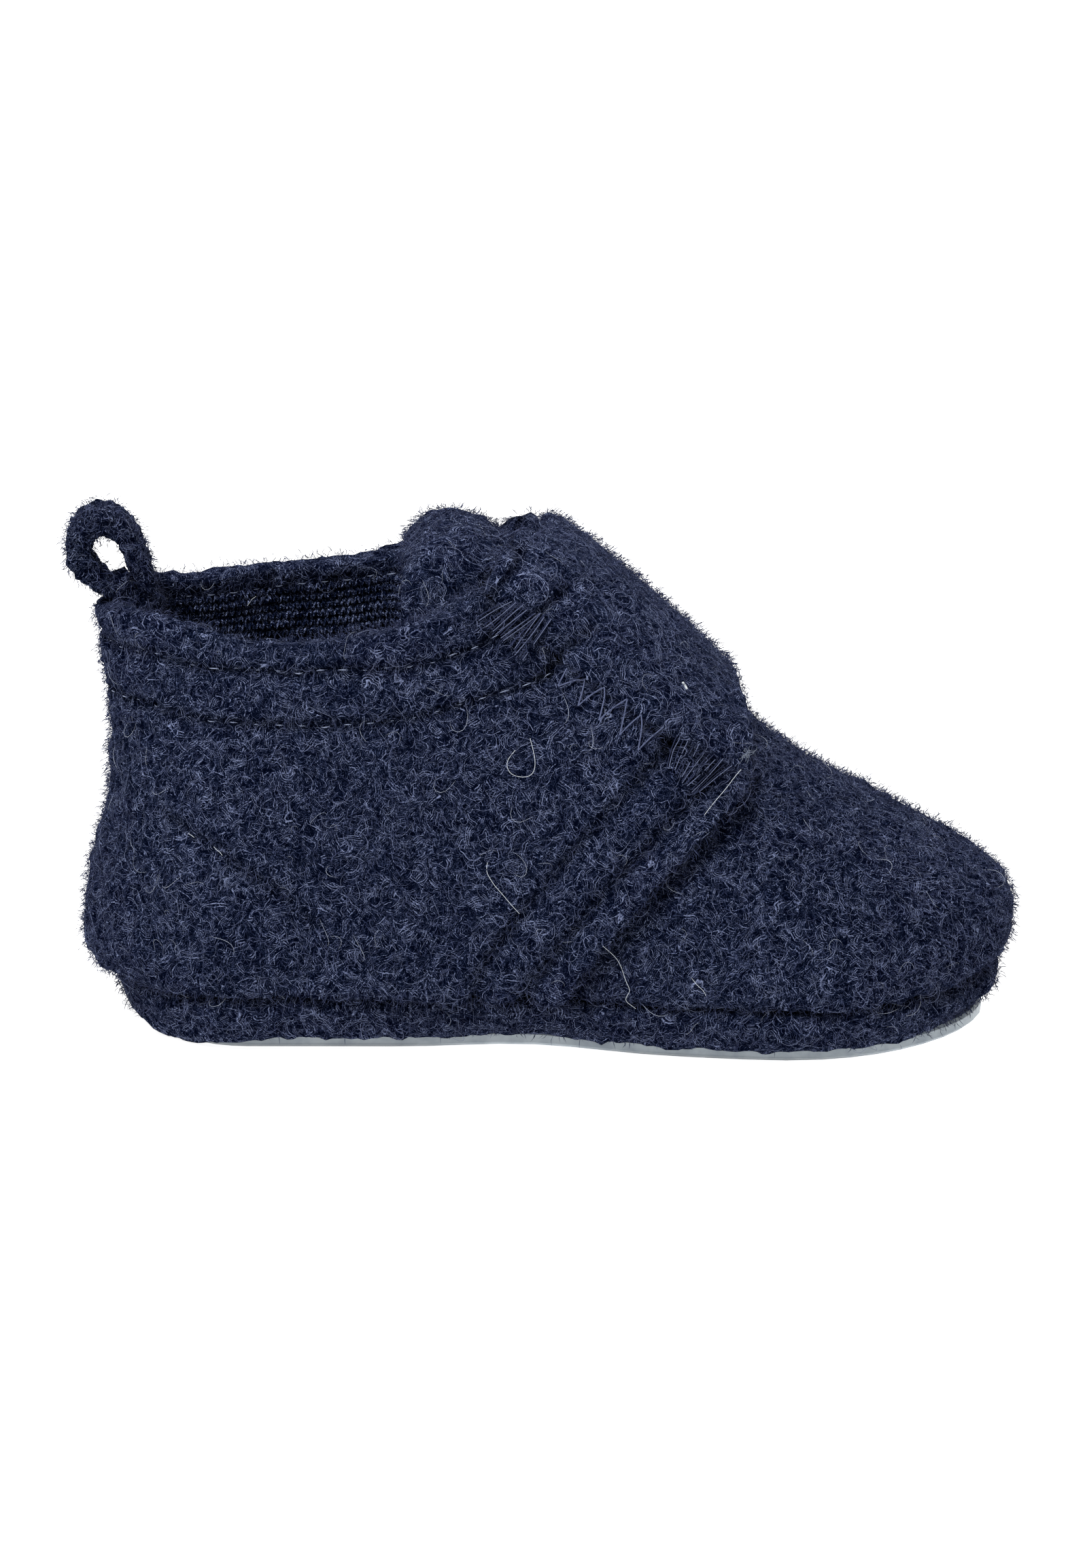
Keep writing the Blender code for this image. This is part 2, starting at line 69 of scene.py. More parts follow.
lines = {
    "collar": [(-12, 59.2), (8, 59.2), (22, 58.8), (36, 58.0), (47, 60.8), (53, 64.4)],  # from the side
    "strapSeam": [(53.0, 64.4), (68.0, 46.5), (89.3, 36.2)],  # Bezier points, as the next
    "frontEdge": [(64.7, 8.2), (76.0, 25.5), (89.3, 36.2)],
    "nearRows": [  # topstitch rows below the collar, photograph's pixels
        [(240, 968), (310, 985), (440, 991), (571, 986), (636, 978), (701, 956), (729, 941)],
        [
            (240, 1046), (310, 1060), (388, 1067), (486, 1069), (558, 1065),
            (636, 1051), (701, 1031), (766, 1013), (806, 998),
        ],
    ],
    "farRows": [  # the same rows round the heel and along the far side
        [(-12, 53.6), (8, 53.6), (22, 53.9), (36, 53.7), (45, 55.6), (52, 59.4)],
        [(-12, 46.6), (8, 46.6), (22, 46.8), (36, 47.2), (48, 49.4), (56, 51.2)],
    ],
    "edgeRows": (5.4, 12.2),  # and behind the front edge, millimetres from it
    "edgeRowEnds": (9.2, 1.5),  # above the floor and below the strap seam
    "strapFolds": [  # the rows' last creases, over the strap's foot, photograph's pixels
        [(798, 998), (826, 968), (845, 952), (870, 934)],
        [(790, 906), (812, 890), (834, 876)],
        [(748, 785), (772, 806), (763, 826), (735, 849), (716, 868)],  # beside the tongue
    ],
    "tongueCleft": [(738, 771), (754, 793), (772, 806), (763, 826), (735, 849), (716, 868)],
    "tongueRise": [  # how far it stands up behind the strap, by millimetres from the heel
        (54.8, 0), (55.8, 0.4), (57.4, 3.4), (58.5, 4.7), (60.2, 6.4), (61.4, 6.2), (62.6, 3.0), (63.6, 0)
    ],
    "counter": [(11.3, 32.3), (18.3, 28.7), (23.5, 24.9), (27.8, 22.0), (30.9, 18.8)],  # heel crease
}


def fromLast(x, y, z):
    return lastOrigin + Vector((x, y, z)) * mm


def toLast(points):
    return (np.asarray(points) - np.array(lastOrigin)) / mm


def bezier(points, count):
    t = np.linspace(0, 1, count)[:, None]
    a, b, c = (np.array(p, float) for p in points)
    return a * (1 - t) ** 2 + b * 2 * t * (1 - t) + c * t * t


def smoothed(rows, passes):
    rows = np.array(rows, float)
    for _ in range(passes):
        rows[1:-1] = (rows[:-2] + 2 * rows[1:-1] + rows[2:]) / 4
    return rows


def rounded(knots, count=90, passes=40):
    # A run of points made into a smooth line over x
    knots = np.array(knots, float)
    fine = np.linspace(knots[0, 0], knots[-1, 0], count)
    return np.column_stack([fine, smoothed(np.interp(fine, knots[:, 0], knots[:, 1]), passes)])


collarLine = rounded(lines["collar"])


def collarHeight(x):
    return np.interp(x, collarLine[:, 0], collarLine[:, 1])


def edgeRow(distance):
    # A line behind the quarter's front edge, from the sole seam up to the strap seam
    edge = bezier(lines["frontEdge"], 40)
    run = np.gradient(edge, axis=0)
    run /= np.linalg.norm(run, axis=1, keepdims=True)
    row = edge + distance * np.column_stack([-run[:, 1], run[:, 0]])
    seam = bezier(lines["strapSeam"], 60)
    top = np.interp(row[:, 0], seam[:, 0], seam[:, 1])
    foot, short = lines["edgeRowEnds"]
    return row[(row[:, 1] > foot) & (row[:, 1] < top - short)]


def newObject(name, data):
    piece = bpy.data.objects.new(name, data)
    bpy.context.scene.collection.objects.link(piece)
    return piece


def meshFrom(name, points, faces, edges=()):
    mesh = bpy.data.meshes.new(name)
    mesh.from_pydata([tuple(p) for p in points], list(edges), [tuple(int(k) for k in f) for f in faces])
    mesh.update()
    return mesh


def evaluated(piece):
    graph = bpy.context.evaluated_depsgraph_get()
    graph.update()
    return bpy.data.meshes.new_from_object(piece.evaluated_get(graph))


def triangles(mesh):
    return sum(len(p.vertices) - 2 for p in mesh.polygons)


def dress(piece, *nodes):
    for node in nodes:
        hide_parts(node)
    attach(piece, "root")
    return piece


# Camera and light

view = {
    "elevation": 15.0,
    "distance": 2.2,
    "frameHeight": 211.8,  # millimetres that the photograph's height takes in at the bootie
    "photoSize": (1596, 2306),
    "centreX": 61.6,
    "centreUp": 31.0,
    "rayStart": 0.3,  # metres in front of the bootie
}

tilt = math.radians(view["elevation"])
lookAlong = Vector((0, math.cos(tilt), -math.sin(tilt)))
lookUp = Vector((0, math.sin(tilt), math.cos(tilt)))


def makeCamera():
    data = bpy.data.cameras.new("camera")
    data.sensor_fit = "VERTICAL"
    data.sensor_height = 36.0
    data.lens = 36.0 * view["distance"] / (view["frameHeight"] * mm)
    data.clip_end = 20
    camera = newObject("camera", data)
    target = fromLast(view["centreX"], 0, 0) + lookUp * view["centreUp"] * mm
    camera.location = target - lookAlong * view["distance"]
    camera.rotation_euler = (math.pi / 2 - tilt, 0, 0)
    bpy.context.scene.camera = camera


def photoPlace(px, py):
    # A pixel of the photograph in millimetres along the bootie and up the picture
    scale = view["photoSize"][1] / view["frameHeight"]
    x = view["centreX"] + (px - view["photoSize"][0] / 2) / scale
    return x, view["centreUp"] + (view["photoSize"][1] / 2 - py) / scale


def photoLine(pixels):
    return [photoPlace(*p) for p in pixels]


def photoRay(px, py):
    # Where that pixel looks from, as a point far in front of the bootie
    x, up = photoPlace(px, py)
    return fromLast(x, 0, 0) + lookUp * up * mm - lookAlong * view["rayStart"]


studio = {
    "ambient": 0.46,
    "key": {"size": 0.45, "watts": 29.0, "place": (-0.5, -0.75, 1.2)},
    "rim": {"size": 0.8, "watts": 18.0, "place": (0.5, 0.8, 0.9)},
    "target": (0, 0, 0.03),
    "floor": (0.5, 0.5, 0.5, 1),
    "floorHalf": 6.0,
    "floorGlow": 0.92,  # keeps the sweep white, as in the photograph
}


def makeStudio():
    world = bpy.data.worlds.new("studio")
    bpy.context.scene.world = world
    world.use_nodes = True
    tree = world.node_tree
    setInputs(tree, tree.nodes["Background"], {"Color": (1, 1, 1, 1), "Strength": studio["ambient"]})
    for name in ("key", "rim"):
        part = studio[name]
        light = bpy.data.lights.new(name, "AREA")
        light.size = part["size"]
        light.energy = part["watts"]
        lamp = newObject(name, light)
        lamp.location = part["place"]
        towards = Vector(studio["target"]) - Vector(part["place"])
        lamp.rotation_euler = towards.to_track_quat("-Z", "Y").to_euler()
    half = studio["floorHalf"]
    corners = [(-half, -half, 0), (half, -half, 0), (half, half, 0), (-half, half, 0)]
    floor = newObject("floor", meshFrom("floor", corners, [(0, 1, 2, 3)]))
    paint = plainMaterial("paleFloor", studio["floor"], 0.9, 0.0)
    glow = {"Emission Color": (1, 1, 1, 1), "Emission Strength": studio["floorGlow"]}
    setInputs(paint.node_tree, paint.node_tree.nodes["Principled BSDF"], glow)
    floor.data.materials.append(paint)
    settings = bpy.context.scene.view_settings
    settings.view_transform = "Standard"
    settings.look = "None"


# Finishes

woolTones = [  # the wool's navy, from painted shade in the depth between strands to painted light on their lit tops
    (0.20, (0.0005, 0.0012, 0.0055)),
    (0.26, (0.0018, 0.0034, 0.0115)),
    (0.33, (0.0056, 0.0085, 0.0220)),
    (0.41, (0.0125, 0.0175, 0.0405)),
    (0.49, (0.0295, 0.0385, 0.0765)),
    (0.57, (0.0700, 0.0845, 0.1520)),
    (0.70, (0.1580, 0.1860, 0.2980)),
]
wools = {  # curls, strands and clumps for each millimetre, relief in millimetres
    "curlyWool": {"tint": 1.0, "curl": 0.58, "strands": 4.0, "clump": 0.60, "relief": 0.30},  # boiled loops
    "finerWool": {"tint": 1.1, "curl": 0.40, "strands": 4.2, "clump": 0.45, "relief": 0.22},  # brushed flat
    "tapeWool": {"tint": 1.4, "curl": 0.9, "strands": 4.0, "clump": 1.0, "relief": 0.10},
    "loopWool": {"tint": 0.7, "curl": 0.75, "strands": 3.7, "clump": 0.75, "relief": 0.30},
}
strandLayers = [  # size of the curls, place, fineness and height of each layer of strands
    (1.0, 0.0, 1.0, 1.0),
    (1.4, 37.0, 1.15, 1.0),
    (0.72, 71.0, 0.8, 1.0),
    (1.15, 113.0, 0.9, 1.0),
    (0.85, 151.0, 1.2, 0.68),
    (1.3, 191.0, 1.3, 0.58),
]
strandLook = {  # ranges of a texture's value, and what they become
    "beside": 3.0,  # millimetres from a bundle to the point that it arcs round
    "wander": (1.1, 0.22),  # scale and size of a bundle's own bends
    "waver": 0.45,  # scale of the bends that all share
    "ridge": (0.12, 0.42),
    "strand": (0.0, 1.0, 0.35, 1.0),  # a depth for each strand
    "lockStep": 0.42,
    "lock": (0.33, 0.64, 0.16, 1.0),  # and for each lock of a few
    "ends": (0.34, 0.44, 0.6, 1.0),
    "bundle": (0.0, 1.0, 0.85, 1.0),
    "hollow": (0.15, 0.75),  # a curl is dark at its middle
    "cleft": (0.34, 0.60, 0.92, 1.0),  # painted shade between clumps
    "sparkleScale": 4.2,
    "sparkle": (0.38, 0.60, 0.71, 1.10),
    # painted shade: how far the crease attribute darkens the colour
    "crease": (0.0, 1.0, 1.0, 0.22),
}
rubber = {
    "tones": [(0.3, (0.22, 0.26, 0.30, 1)), (0.62, (0.34, 0.385, 0.42, 1))],
    "roughness": 0.42,
    "cloud": (0.35, 4.0),  # scale and detail
    "grain": (2.2, 3.0),
    "paintedContactShade": (0.1, 0.7, 0.45, 1.0),  # painted contact shade: millimetres of the lower edge, and how dark
    "bump": (0.35, 0.2),  # strength, and depth in millimetres
}


def addNode(tree, kind, **values):
    node = tree.nodes.new(kind)
    for name, value in values.items():
        setattr(node, name, value)
    return node


def setInputs(tree, node, inputs):
    # By name or number, to values or joined to sockets
    for name, value in inputs.items():
        if isinstance(value, bpy.types.NodeSocket):
            tree.links.new(value, node.inputs[name])
        else:
            node.inputs[name].default_value = value


def wired(tree, kind, inputs, **values):
    node = addNode(tree, kind, **values)
    setInputs(tree, node, inputs)
    return node.outputs


def inMillimetres(tree):
    place = addNode(tree, "ShaderNodeTexCoord").outputs["Object"]
    scaled = wired(tree, "ShaderNodeMapping", {"Vector": place, "Scale": (1000, 1000, 1000)})
    return scaled["Vector"]


def mathNode(tree, operation, *values):
    return wired(tree, "ShaderNodeMath", dict(enumerate(values)), operation=operation)["Value"]


def product(tree, value, *others):
    for other in others:
        value = mathNode(tree, "MULTIPLY", value, other)
    return value


def vectorNode(tree, operation, *values):
    node = wired(tree, "ShaderNodeVectorMath", dict(enumerate(values)), operation=operation)
    return node["Value" if operation == "LENGTH" else "Vector"]


def ranged(tree, value, low, high, toLow=0.0, toHigh=1.0):
    inputs = dict(enumerate((value, low, high, toLow, toHigh)))
    return wired(tree, "ShaderNodeMapRange", inputs)["Result"]


def noiseNode(tree, place, scale, detail, result="Fac", **more):
    inputs = {"Vector": place, "Scale": scale, "Detail": detail, **more}
    return wired(tree, "ShaderNodeTexNoise", inputs, noise_dimensions="4D" if more else "3D")[result]


def colourRamp(tree, value, tones):
    ramp = addNode(tree, "ShaderNodeValToRGB")
    tree.links.new(value, ramp.inputs["Fac"])
    stops = ramp.color_ramp.elements
    stops.remove(stops[1])
    stops[0].position = tones[0][0]
    for position, _ in tones[1:]:
        stops.new(position)
    for stop, (_, tone) in zip(stops, tones):
        stop.color = tone
    return ramp.outputs["Color"]


def newMaterial(name, roughness, specular=0.5):
    material = bpy.data.materials.new(name)
    material.use_nodes = True
    shader = material.node_tree.nodes["Principled BSDF"]
    setInputs(material.node_tree, shader, {"Roughness": roughness, "Specular IOR Level": specular})
    return material, material.node_tree, shader


def finishMaterial(tree, shader, colour, dimming, height, strength, depth):
    dimmed = wired(tree, "ShaderNodeVectorMath", {0: colour, "Scale": dimming}, operation="SCALE")
    bump = wired(tree, "ShaderNodeBump", {"Strength": strength, "Distance": depth * mm, "Height": height})
    setInputs(tree, shader, {"Base Color": dimmed["Vector"], "Normal": bump["Normal"]})


def strandLayer(tree, part, place, facing, size, finer):
    # Each cell is a bundle of strands that arc, in the plane of the felt, round a point beside it
    look = strandLook
    cell = wired(tree, "ShaderNodeTexVoronoi", {"Vector": place, "Scale": part["curl"] * size})
    far = look["beside"]
    beside = vectorNode(tree, "MULTIPLY_ADD", cell["Color"], [2 * far] * 3, [-far] * 3)
    centre = vectorNode(tree, "ADD", cell["Position"], beside)
    across = vectorNode(tree, "CROSS_PRODUCT", vectorNode(tree, "SUBTRACT", place, centre), facing)
    radius = vectorNode(tree, "LENGTH", across)
    bendScale, bend = look["wander"]
    wander = noiseNode(tree, place, bendScale * finer, 1.0)
    reach = mathNode(tree, "MULTIPLY_ADD", wander, bend, radius)
    count = mathNode(tree, "MULTIPLY", reach, part["strands"] * finer)
    ridge = mathNode(tree, "PINGPONG", mathNode(tree, "FRACT", count), 0.5)
    own = {"Vector": cell["Position"], "W": mathNode(tree, "FLOOR", count)}
    strand = wired(tree, "ShaderNodeTexWhiteNoise", own, noise_dimensions="4D")["Value"]
    lockCount = mathNode(tree, "MULTIPLY", count, look["lockStep"])
    lock = noiseNode(tree, cell["Position"], 1.0, 0.0, W=lockCount)
    shade = wired(tree, "ShaderNodeSeparateColor", {"Color": cell["Color"]})
    values = {"ridge": ridge, "strand": strand, "lock": lock, "ends": wander}
    values.update({"bundle": shade["Red"], "hollow": radius})
    return product(tree, *(ranged(tree, value, *look[name]) for name, value in values.items()))


def woolMaterial(name):
    part, look = wools[name], strandLook
    material, tree, shader = newMaterial(name, 0.9, 0.0)
    place = inMillimetres(tree)
    waver = noiseNode(tree, place, look["waver"], 1.0, "Color")
    bent = vectorNode(tree, "ADD", waver, place)
    facing = addNode(tree, "ShaderNodeNewGeometry").outputs["Normal"]
    top = 0.0
    for size, shift, finer, rise in strandLayers:
        moved = vectorNode(tree, "ADD", bent, (shift, shift * 0.7, -shift))
        layer = mathNode(tree, "MULTIPLY", strandLayer(tree, part, moved, facing, size, finer), rise)
        top = mathNode(tree, "MAXIMUM", layer, top)
    clump = noiseNode(tree, bent, part["clump"], 3.0)
    cleft = ranged(tree, clump, *look["cleft"])
    glint = noiseNode(tree, place, look["sparkleScale"], 1.0)
    height = product(tree, top, cleft, ranged(tree, glint, *look["sparkle"]))
    tones = [(position, [part["tint"] * c for c in tone] + [1]) for position, tone in woolTones]
    colour = colourRamp(tree, height, tones)
    # Painted shade: the crease attribute darkens the colour in grooves, folds, clefts and below the satin
    # bars
    crease = addNode(tree, "ShaderNodeAttribute", attribute_type="GEOMETRY", attribute_name="crease")
    dimming = ranged(tree, crease.outputs["Fac"], *look["crease"])
    relief = mathNode(tree, "ADD", height, cleft)
    finishMaterial(tree, shader, colour, dimming, relief, 0.9, part["relief"])
    return material


def plainMaterial(name, colour, roughness, specular=0.15):
    material, _, shader = newMaterial(name, roughness, specular)
    shader.inputs["Base Color"].default_value = colour
    return material


def rubberMaterial():
    material, tree, shader = newMaterial("greyRubber", rubber["roughness"])
    place = inMillimetres(tree)
    colour = colourRamp(tree, noiseNode(tree, place, *rubber["cloud"]), rubber["tones"])
    axes = wired(tree, "ShaderNodeSeparateXYZ", {"Vector": place})
    # painted contact shade, darker towards the lower edge
    paintedContactShade = ranged(tree, axes["Z"], *rubber["paintedContactShade"])
    grain = noiseNode(tree, place, *rubber["grain"])
    finishMaterial(tree, shader, colour, paintedContactShade, grain, *rubber["bump"])
    return material


# Felt pieces: each imported solid remeshed evenly, softened, and worked with lumps, troughs and ridges, with
# shade painted into its creases

felt = {
    "upper": {
        "name": "upperFelt", "wool": "curlyWool",
        "voxel": 0.86, "soften": 3, "lump": 0.40, "curl": 0.80, "fine": 1.0,
    },
    "felt_sole": {
        "name": "soleFelt", "wool": "curlyWool",
        "voxel": 0.86, "soften": 3, "lump": 0.35, "curl": 0.80, "fine": 1.0,
    },
    "strap": {
        "name": "strapFelt", "wool": "finerWool",
        "voxel": 0.80, "soften": 4, "lump": 0.35, "curl": 0.35, "fine": 1.0,
    },
    "tongue": {
        "name": "tongueFelt", "wool": "finerWool",
        "voxel": 0.80, "soften": 4, "lump": 0.45, "curl": 0.40, "fine": 1.0,
    },
    "pull_loop": {
        "name": "loopTape", "wool": "loopWool",
        "voxel": 0.36, "soften": 3, "lump": 0.20, "curl": 0.90, "fine": 1.7,
    },
}
lumpScales = (0.13, 0.36, 0.75)
creases = {  # depth and width in millimetres, then the painted shade's darkness and its width
    "frontEdge": (1.0, 1.3, 0.8, 1.3),
    "edgeRow": (1.1, 0.95, 0.5, 0.95),
    "collarRow": (0.55, 0.76, 0.85, 0.76),
    "counter": (0.7, 1.0, 0.6, 0.9),
    "strapFold": (0.8, 0.9, 0.8, 0.75),
    "tongueCleft": (0.8, 1.1, 0.9, 1.0),
}
swells = {  # size, place and width of each, in millimetres
    "behindEdge": [(0.5, 2.4, 1.7), (0.5, 8.8, 2.0)],
    "belowCollar": [(0.35, 2.0, 1.5), (0.35, 8.2, 2.0)],
    "nearDip": [(3.0, 22, 10.0), (1.8, 54, 5.0)],
    "farDip": [(0.9, 13, 9.0), (-0.6, 34, 10.0)],
    "heelDip": [(1.8, 1, 4.0)],
    "upperFoot": [(0.55, 9.0, 1.4)],
    "soleTop": [(0.55, 7.2, 1.2)],
    "soleGroove": [(0.6, 7.6, 1.1)],  # painted shade in the sole seam's groove
}
strapSeam = {"close": 1.1, "reach": 2.6, "across": (0.62, 0, 0.78)}  # how it draws quarter and strap together
strapShape = {
    "crown": 1.7,
    "crownWidth": 17.0,
    "crownRise": (60.5, 65.5),
    "crownFall": (87, 81),
    "corner": ((61.4, 4.0), (4, 9.0)),  # places and widths along and across the bootie
    "cornerMove": (-1.6, -0.5),  # back and down
}
# the tongue's hump, and the painted shade on its far part behind the front lump
tongueShape = {"hump": (3, 13.0), "shade": 0.25, "shadeRun": (56.8, 59.0)}
loopShape = {
    "eye": [(2.1, 65.2), (8.1, 59.0)],
    "half": 0.9,  # the eye's half width
    "bulge": (0.3, 0.7),
    "eyeEnd": (1.8, 0.78, 2.0),  # how far it is pushed on, where along the eye, and how wide
    "narrow": (0.3, 3.0),
    "rise": (0.4, 66, 69),
    "drop": (2.4, 66, 60),
}
soleRim = {  # hangs over the rubber, and further round the heel
    "drop": 0.9,
    "heelDrop": 1.4,
    "heelRun": (26, 14),
    "middle": 2.0,
    "width": 2.2,
    "floor": 0.1,
}


def sideDistance(points, line):
    # Distance in the side view to a line of points, and which side of it each point is on
    line = np.asarray(line, float)
    best = np.full(len(points), 1e9)
    sign = np.ones(len(points))
    for a, b in zip(line[:-1], line[1:]):
        run = b - a
        t = np.clip(((points - a) @ run) / (run @ run), 0, 1)
        gap = points - (a + t[:, None] * run)
        far = np.hypot(gap[:, 0], gap[:, 1])
        nearer = far < best
        best[nearer] = far[nearer]
        sign[nearer] = np.sign(run[0] * gap[:, 1] - run[1] * gap[:, 0])[nearer]
    return best, sign


def outward(points, normals):
    # Positive where the skin faces out of the bootie, negative on the inside
    core = np.clip(points[:, 0], 24, 98)
    rise = np.where(points[:, 0] > 50, (points[:, 2] - 22) * 0.7, 0)
    reach = np.column_stack([points[:, 0] - core, points[:, 1], rise])
    return (reach * normals).sum(axis=1)


def bell(distance, width):
    return np.exp(-((distance / width) ** 2))


def swell(values, name):
    return sum(size * bell(values - middle, width) for size, middle, width in swells[name])


def between(values, start, end):
    # From 0 at the start to 1 at the end
    return np.clip((values - start) / (end - start), 0, 1)


def crease(gap, name):
    # How deep the felt is at a distance from a crease, and how dark the shade painted there
    depth, width, dark, darkWidth = creases[name]
    return depth * bell(gap, width), dark * bell(gap, darkWidth)


def inPicture(points):
    # Along the bootie and up the picture, as photoPlace gives them
    return np.column_stack([points[:, 0], points[:, 1] * lookUp.y + points[:, 2] * lookUp.z])


def upperRelief(points, normals):
    # Ridges and troughs of the upper, and the shade painted into its grooves and along its sole seam
    x, y, z = points.T
    side = points[:, [0, 2]]
    skin = between(outward(points, normals), 0, 4)
    front, ahead = sideDistance(side, bezier(lines["frontEdge"], 30))
    behind = front * np.where(ahead > 0, 1, -1)  # positive on the quarter
    grooves = [np.array(crease(front, "frontEdge")) * (behind < 0.6)]
    grooves += [crease(behind - row, "edgeRow") for row in lines["edgeRows"]]
    for nearRow, farRow in zip(lines["nearRows"], lines["farRows"]):
        gap, _ = sideDistance(side, rounded(farRow, 40, 8))
        nearGap, _ = sideDistance(inPicture(points), photoLine(nearRow))
        grooves.append(crease(np.where((y < 0) & (x > 10), nearGap, gap), "collarRow"))
    grooves.append(crease(sideDistance(side, lines["counter"])[0], "counter"))
    depth, shade = np.sum(grooves, axis=0)
    height = swell(behind, "behindEdge") + swell(z, "upperFoot") - depth
    height += swell(collarHeight(x) - z, "belowCollar") * between(x, 60, 54)
    # Painted shade along the sole seam's groove, fainter towards the toe
    shade += swell(z, "soleGroove") * np.maximum(between(x, 100, 70), 0.2)
    return height * skin, np.clip(shade * skin, 0, 1)


def collarDip(points):
    # The near side's collar sits lower than the far side's
    x, y, z = points.T
    dip = between(y, 0, -6) * swell(x, "nearDip") + between(y, 0, 6) * swell(x, "farDip")
    return dip * between(z, 42, 55) + between(z, 46, 58) * swell(x, "heelDip")


def seamPull(points, towards):
    # Draws the near side's quarter and strap together along their sewn seam
    gap, _ = sideDistance(points[:, [0, 2]], bezier(lines["strapSeam"], 40))
    near = (points[:, 1] < -2) * bell(gap, strapSeam["reach"])
    return near[:, None] * np.array(strapSeam["across"]) * towards * strapSeam["close"]


def pressedAndShaded(points):
    # Felt folded at the strap's foot, with shade painted in the folds and below the satin bars: depth and
    # shade
    pictured = inPicture(points)
    depth, shade = np.zeros((2, len(points)))
    for bar in sewing["satin"]:
        middles = [np.mean(photoLine(bar[end]), axis=0) for end in ("first", "last")]
        gap, _ = sideDistance(pictured, middles)
        shade += sewing["satinShade"] * between(gap, 1.6 * bar["reach"], 0.6 * bar["reach"])
    for fold in lines["strapFolds"]:
        gap, _ = sideDistance(pictured, photoLine(fold))
        sunk, dark = crease(gap, "strapFold")
        depth += sunk
        shade += dark
    near = points[:, 1] < -2
    return depth * near, shade * near


def loopShift(points):
    # Keeps the heel loop's eye open round its long axis, and the tape narrower there
    part = loopShape
    start, end = np.array(part["eye"])
    run = end - start
    flat = points[:, [0, 2]] - start
    t = np.clip(flat @ run / (run @ run), 0, 1)
    away = flat - t[:, None] * run
    gap = np.maximum(np.linalg.norm(away, axis=1), 0.05)
    bulge, bulgeWidth = part["bulge"]
    push = np.clip(part["half"] - gap, 0, None) + bulge * bell(gap - part["half"], bulgeWidth)
    away *= (push / gap)[:, None]
    pushOn, along, endWidth = part["eyeEnd"]
    atEnd = bell(np.linalg.norm(flat - along * run, axis=1), endWidth)
    away += pushOn * atEnd[:, None] * run / np.linalg.norm(run)
    narrow, narrowWidth = part["narrow"]
    rise, drop = (part[key][0] * between(points[:, 2], *part[key][1:]) for key in ("rise", "drop"))
    across = -narrow * points[:, 1] * bell(gap, narrowWidth)
    return np.column_stack([away[:, 0], across, away[:, 1] + rise - drop])


def strapShift(points):
    # Crowns the strap over the instep, and draws its upper corner back
    part = strapShape
    x, y, _ = points.T
    (cornerX, cornerLong), (cornerY, cornerWide) = part["corner"]
    corner = bell(x - cornerX, cornerLong) * bell(y - cornerY, cornerWide)
    crown = between(x, *part["crownRise"]) * between(x, *part["crownFall"]) * bell(y, part["crownWidth"])
    back, down = part["cornerMove"]
    return np.column_stack([back * corner, 0 * y, part["crown"] * crown + down * corner])


def lumps(points, part, seed):
    shift = Vector((seed * 13.1, seed * 7.7, seed * 3.3))
    broad, middle, small = lumpScales
    height = np.empty(len(points))
    for k, p in enumerate(points):
        v = Vector(p)
        puffs = abs(noise.noise(v * middle * part["fine"] + shift))
        puffs += 0.6 * abs(noise.noise(v * small * part["fine"] - shift))
        height[k] = part["lump"] * noise.noise(v * broad + shift) + part["curl"] * (puffs - 0.35)
    return height


def arrays(mesh):
    points = np.empty(len(mesh.vertices) * 3)
    mesh.vertices.foreach_get("co", points)
    normals = np.empty(len(mesh.vertices) * 3)
    mesh.vertex_normals.foreach_get("vector", normals)
    return points.reshape(-1, 3), normals.reshape(-1, 3)


def evenMesh(node):
    part = felt[node]
    copy = frame["nodes"][node].data.copy()
    work = bmesh.new()
    work.from_mesh(copy)
    bmesh.ops.remove_doubles(work, verts=work.verts, dist=0.001 * mm)
    work.to_mesh(copy)
    work.free()
    copy.materials.clear()
    rough = newObject(part["name"] + "Rough", copy)
    remesh = rough.modifiers.new("even", "REMESH")
    remesh.mode = "VOXEL"
    remesh.voxel_size = part["voxel"] * mm
    soften = rough.modifiers.new("soft", "SMOOTH")
    soften.factor = 0.5
    soften.iterations = part["soften"]
    mesh = evaluated(rough)
    bpy.data.objects.remove(rough)
    mesh.name = part["name"]
    return mesh


def worked(node, last, normals):
    # What a piece has beside its lumps: height along the normals, shift, and painted shade
    height, shade = np.zeros((2, len(last)))
    shift = np.zeros_like(last)
    x, y, z = last.T
    if node in ("upper", "strap"):
        shift += seamPull(last, 1.0 if node == "upper" else -1.0)
        shift[:, 2] -= collarDip(last)
        depth, dark = pressedAndShaded(last)
        height -= depth
        shade += dark
    if node == "upper":
        dipped = last - collarDip(last)[:, None] * np.array([0, 0, 1])
        relief, dark = upperRelief(dipped, normals)
        height += relief
        shade += dark
    if node == "strap":
        shift += strapShift(last)
    if node == "tongue":
        middle, width = tongueShape["hump"]
        shift[:, 2] += np.interp(x, *zip(*lines["tongueRise"])) * bell(y - middle, width)
        depth, dark = crease(sideDistance(inPicture(last), photoLine(lines["tongueCleft"]))[0], "tongueCleft")
        height -= depth
        # Painted shade in the cleft beside the strap, and on the tongue's far part behind its front lump
        shade += dark + tongueShape["shade"] * between(x, *tongueShape["shadeRun"])
    if node == "pull_loop":
        shift += loopShift(last)
    if node == "felt_sole":
        rim = outward(last, normals) > 0
        height += swell(z, "soleTop") * rim
        hang = soleRim["drop"] + soleRim["heelDrop"] * between(x, *soleRim["heelRun"])
        hang = np.minimum(hang, 0.9 * z) * bell(z - soleRim["middle"], soleRim["width"])
        shift[:, 2] -= hang * rim
    return height, shift, np.clip(shade, 0, 1)


